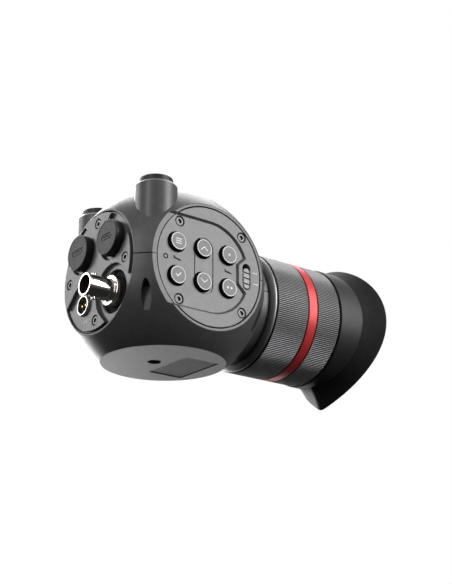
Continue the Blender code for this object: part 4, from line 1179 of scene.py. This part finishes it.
def optics():
    """Moving lens cell with two lenses, the eye lens, and the stepped bezel around it."""
    carrier = tube("lens_cell", sleeve(16.4 * MM, 18.6 * MM, low("lens_carrier").y,
                                       high("lens_carrier").y), TUBE, MIDDLE_STEPS)
    dress(carrier, "lens_carrier", "black_plastic", FLOCK_AND_PAINTED_SHADE, "lens_carrier")
    retainer = tube("lens_lock_ring",
                    [(14.2 * MM, low("lens_retainer").y), (16.0 * MM, low("lens_retainer").y),
                     (16.0 * MM, high("lens_retainer").y), (14.8 * MM, high("lens_retainer").y)],
                    TUBE, MIDDLE_STEPS)
    dress(retainer, "lens_carrier", "black_plastic", BLACK, "lens_retainer")
    lens("front_lens_element", "front_lens", 16.0 * MM, "lens_carrier", 2.2 * MM, 1.8 * MM)
    lens("rear_lens_element", "rear_lens", 16.0 * MM, "lens_carrier", 1.6 * MM, -0.6 * MM)
    lens("eye_lens", "eye_window", 18.6 * MM, "housing", 0.0, 1.2 * MM)

    start = low("eyepiece_ring").y
    end = high("eyepiece_ring").y
    seat = low("eye_window").y - 0.4 * MM
    radius = radius_of("eyepiece_ring")
    profile = [(17.0 * MM, start), (radius, start), (radius, end, 0.5 * MM),
               (21.4 * MM, end, 0.3 * MM)]
    steps = 5
    for i in range(steps):
        height = end - (end - seat - 2.6 * MM) * (i + 1) / steps
        bore = 21.2 * MM - 1.6 * MM * (i + 1) / steps
        profile += [(bore, height + 0.45 * MM, 0.0), (bore - 0.25 * MM, height, 0.0)]
    profile += [(18.9 * MM, seat + 2.4 * MM, 0.0), (18.9 * MM, seat, 0.0), (17.0 * MM, seat, 0.0)]
    ring = tube("eyepiece_bezel", profile, TUBE)
    dress(ring, "housing", "black_plastic", BLACK, "eyepiece_ring")


# ---- eyecup ----
def cup_rim(turn):
    """Rim radius, rim height and flare height at an angle from straight down."""
    tip_width = 0.2
    tip_round = 0.06
    away = math.sqrt(turn * turn + tip_round ** 2) - tip_round
    peak = math.exp(-away / tip_width)
    down = math.cos(turn)
    saddle = math.cos(2 * turn)
    crown = 1.6 * math.exp(-((math.pi - abs(turn)) / 0.7) ** 2)
    radius = (31.9 + 1.2 * down - 0.35 * saddle + 0.8 * math.cos(3 * turn) + 4.4 * peak
              + crown) * MM
    height = (99.2 - 0.3 * down - 4.8 * saddle - 3.6 * peak) * MM
    flare = (90.0 - 2.6 * saddle - 3.0 * peak) * MM
    return radius, height, flare


def eyecup():
    """Rubber cup: round base sleeve, soft waist, and a saddle rim with one hanging point."""
    start = low("eyecup").y
    base_radius = 28.2 * MM
    wall = 1.8 * MM
    inside = radius_of("eyepiece_ring") + GAP
    angles = 256
    rows = 16
    loops = []
    for i in range(angles):
        turn = math.tau * i / angles
        if turn > math.pi:
            turn -= math.tau
        rim, height, flare = cup_rim(turn)
        rim -= 0.5 * MM
        height -= 0.75 * MM
        outer = [(base_radius - 0.5 * MM, start),
                 (base_radius - 0.1 * MM, start + 0.15 * MM),
                 (base_radius, start + 0.5 * MM), (base_radius, (start + flare) / 2),
                 (base_radius, flare - 0.5 * MM), (base_radius - 0.1 * MM, flare - 0.25 * MM)]
        for j in range(rows + 1):
            s = j / rows
            spread_out = 0.55 * s + 0.45 * s * s
            outer.append((base_radius - 0.3 * MM * (1 - s) + (rim - base_radius) * spread_out,
                          flare + (height - flare) * s))
        end = Vector(outer[-1])
        along = (end - Vector(outer[-2])).normalized()
        across = Vector((along.y, -along.x))
        lip = []
        for j in range(1, 8):
            angle = math.pi * j / 8
            lip.append(tuple(end - across * (wall / 2) + across * (wall / 2) * math.cos(angle)
                             + along * (wall / 2) * math.sin(angle)))
        inner_end = end - across * wall
        inner = [(inside, start), (inside, (start + flare) / 2)]
        for j in range(rows + 1):
            s = j / rows
            inner.append((inside + (inner_end.x - inside) * s ** 1.35,
                          flare + (inner_end.y - flare) * s))
        section = outer + lip + inner[::-1]
        loops.append([(r * math.sin(turn), r * math.cos(turn), h) for r, h in section])
    cup = skin("rubber_eyecup", loops, TUBE)
    dress(cup, "eyecup", "rubber", RUBBER, "eyecup")

    def on_flare(face):
        x, y, z = face.center
        return y > cup_rim(math.atan2(x, AXIS_HEIGHT - z))[2]

    second_finish(cup, SOFT_RUBBER, on_flare)


def cup_slit_shades():
    """Three slanted near-black strips low on the sleeve, painted shade standing for grip slits."""
    slits = []
    for step in range(3):
        angle = math.radians(14 + 6 * step)
        out = Vector((math.sin(angle), 0.0, -math.cos(angle)))
        lean = math.radians(28)
        along = Y * math.cos(lean) + out.cross(Y) * math.sin(lean)
        origin = Vector((0.0, 82.6 * MM, AXIS_HEIGHT)) + out * 28.2 * MM
        place = axes(along.cross(out), along, out, origin)
        slits.append(prism("mark", stadium((0.0, 0.0), 0.5 * MM, 4.4 * MM), -0.2 * MM,
                           0.05 * MM, place))
    dress(joined("sleeve_slit_shades", slits), "eyecup", "rubber", FLOCK_AND_PAINTED_SHADE)


# ---- inner parts that keep their CAD shape ----
def inner_parts():
    for name, material in (("display_panel", SCREEN), ("display_frame", BLACK),
                           ("main_board", BOARD), ("port_board", BOARD), ("key_board", BOARD)):
        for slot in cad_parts[name].material_slots:
            slot.material = material


# ---- studio ----
VIEW_TARGET = Vector((-13.9 * MM, 44.8 * MM, 46.4 * MM))
VIEW_AZIMUTH = 52.575
VIEW_ELEVATION = -19.546
VIEW_DISTANCE = 617.5 * MM
LENS_LENGTH = 80.94
FLOOR_HEIGHT = -0.70
DOME_LOW = 0.02
DOME_HIGH = 0.42
LAMPS = (                                # name, azimuth, elevation, distance, size, watts
    ("key_box", 122, 20, 0.9, (0.40, 0.7), 7.5),
    ("front_box", 16, 16, 0.9, (0.16, 0.8), 2.6),
    ("port_box", -52, 20, 0.9, (0.30, 0.4), 2.2),
    ("rim_box", -102, 16, 0.8, (0.55, 0.9), 16.0),
    ("high_rim_box", -125, 58, 0.9, (0.6, 0.5), 5.0),
    ("base_box", -127, -24, 0.9, (0.30, 0.3), 0.5),
)


def direction(azimuth, elevation):
    """Unit vector from the object towards a viewer or a lamp."""
    a = math.radians(azimuth)
    e = math.radians(elevation)
    return Vector((math.sin(a) * math.cos(e), -math.cos(a) * math.cos(e), math.sin(e)))


def aim(obj, place, target):
    obj.location = place
    obj.rotation_mode = "QUATERNION"
    obj.rotation_quaternion = (target - place).to_track_quat("-Z", "Y")
    bpy.context.scene.collection.objects.link(obj)


def camera():
    data = bpy.data.cameras.new("camera")
    data.sensor_width = 36.0
    data.lens = LENS_LENGTH
    data.clip_start = 0.01
    data.clip_end = 50.0
    made = bpy.data.objects.new("camera", data)
    aim(made, VIEW_TARGET + direction(VIEW_AZIMUTH, VIEW_ELEVATION) * VIEW_DISTANCE, VIEW_TARGET)
    bpy.context.scene.camera = made


def soft_box(name, azimuth, elevation, distance, size, power_watts):
    data = bpy.data.lights.new(name, "AREA")
    data.shape = "RECTANGLE"
    data.size, data.size_y = size
    data.energy = power_watts
    lamp = bpy.data.objects.new(name, data)
    target = Vector((0.0, 0.03, SEAM_HEIGHT))
    aim(lamp, target + direction(azimuth, elevation) * distance, target)


def backdrop():
    """Pale floor and a soft dome that the camera sees as white."""
    bm = bmesh.new()
    bmesh.ops.create_grid(bm, x_segments=1, y_segments=1, size=40.0)
    floor = piece("studio_floor", bm, Matrix.Translation((0, 0, FLOOR_HEIGHT)))
    paper = finish("floor_paper", (0.86, 0.86, 0.86), 0.9, grain=60.0, depth=0.0, mottle=0.01)
    shader = paper.node_tree.nodes["Principled BSDF"]
    shader.inputs["Emission Color"].default_value = (1.0, 1.0, 1.0, 1.0)
    shader.inputs["Emission Strength"].default_value = 0.7
    floor.data.materials.append(paper)
    floor.visible_glossy = False
    floor.visible_diffuse = False
    world = bpy.data.worlds.new("studio_world")
    bpy.context.scene.world = world
    world.use_nodes = True
    tree = world.node_tree
    background = tree.nodes["Background"]
    background.inputs["Color"].default_value = (1.0, 1.0, 1.0, 1.0)
    way = node(tree, "ShaderNodeSeparateXYZ")
    tree.links.new(node(tree, "ShaderNodeTexCoord").outputs["Generated"], way.inputs["Vector"])
    dome = spread(tree, way.outputs["Z"], -0.5, 0.8, DOME_LOW, DOME_HIGH)
    path = node(tree, "ShaderNodeLightPath")
    seen = node(tree, "ShaderNodeMix", data_type="FLOAT")
    seen.inputs["B"].default_value = 1.0
    tree.links.new(path.outputs["Is Camera Ray"], seen.inputs["Factor"])
    tree.links.new(dome, seen.inputs["A"])
    tree.links.new(seen.outputs["Result"], background.inputs["Strength"])


def studio():
    camera()
    backdrop()
    for lamp in LAMPS:
        soft_box(*lamp)
    bpy.context.scene.view_settings.view_transform = "Standard"


def main():
    dress(housing_half("upper_housing", 1), "housing", "housing", PAINT, "upper_shell")
    dress(housing_half("lower_housing", -1), "housing", "housing", PAINT, "lower_shell")
    key_plate()
    side_plate()
    port_plate()
    screws()
    keys()
    slider()
    face_marks()
    caps()
    sockets()
    coax()
    power()
    posts()
    base()
    index_ring()
    viewing_tube()
    optics()
    eyecup()
    cup_slit_shades()
    inner_parts()
    studio()


main()
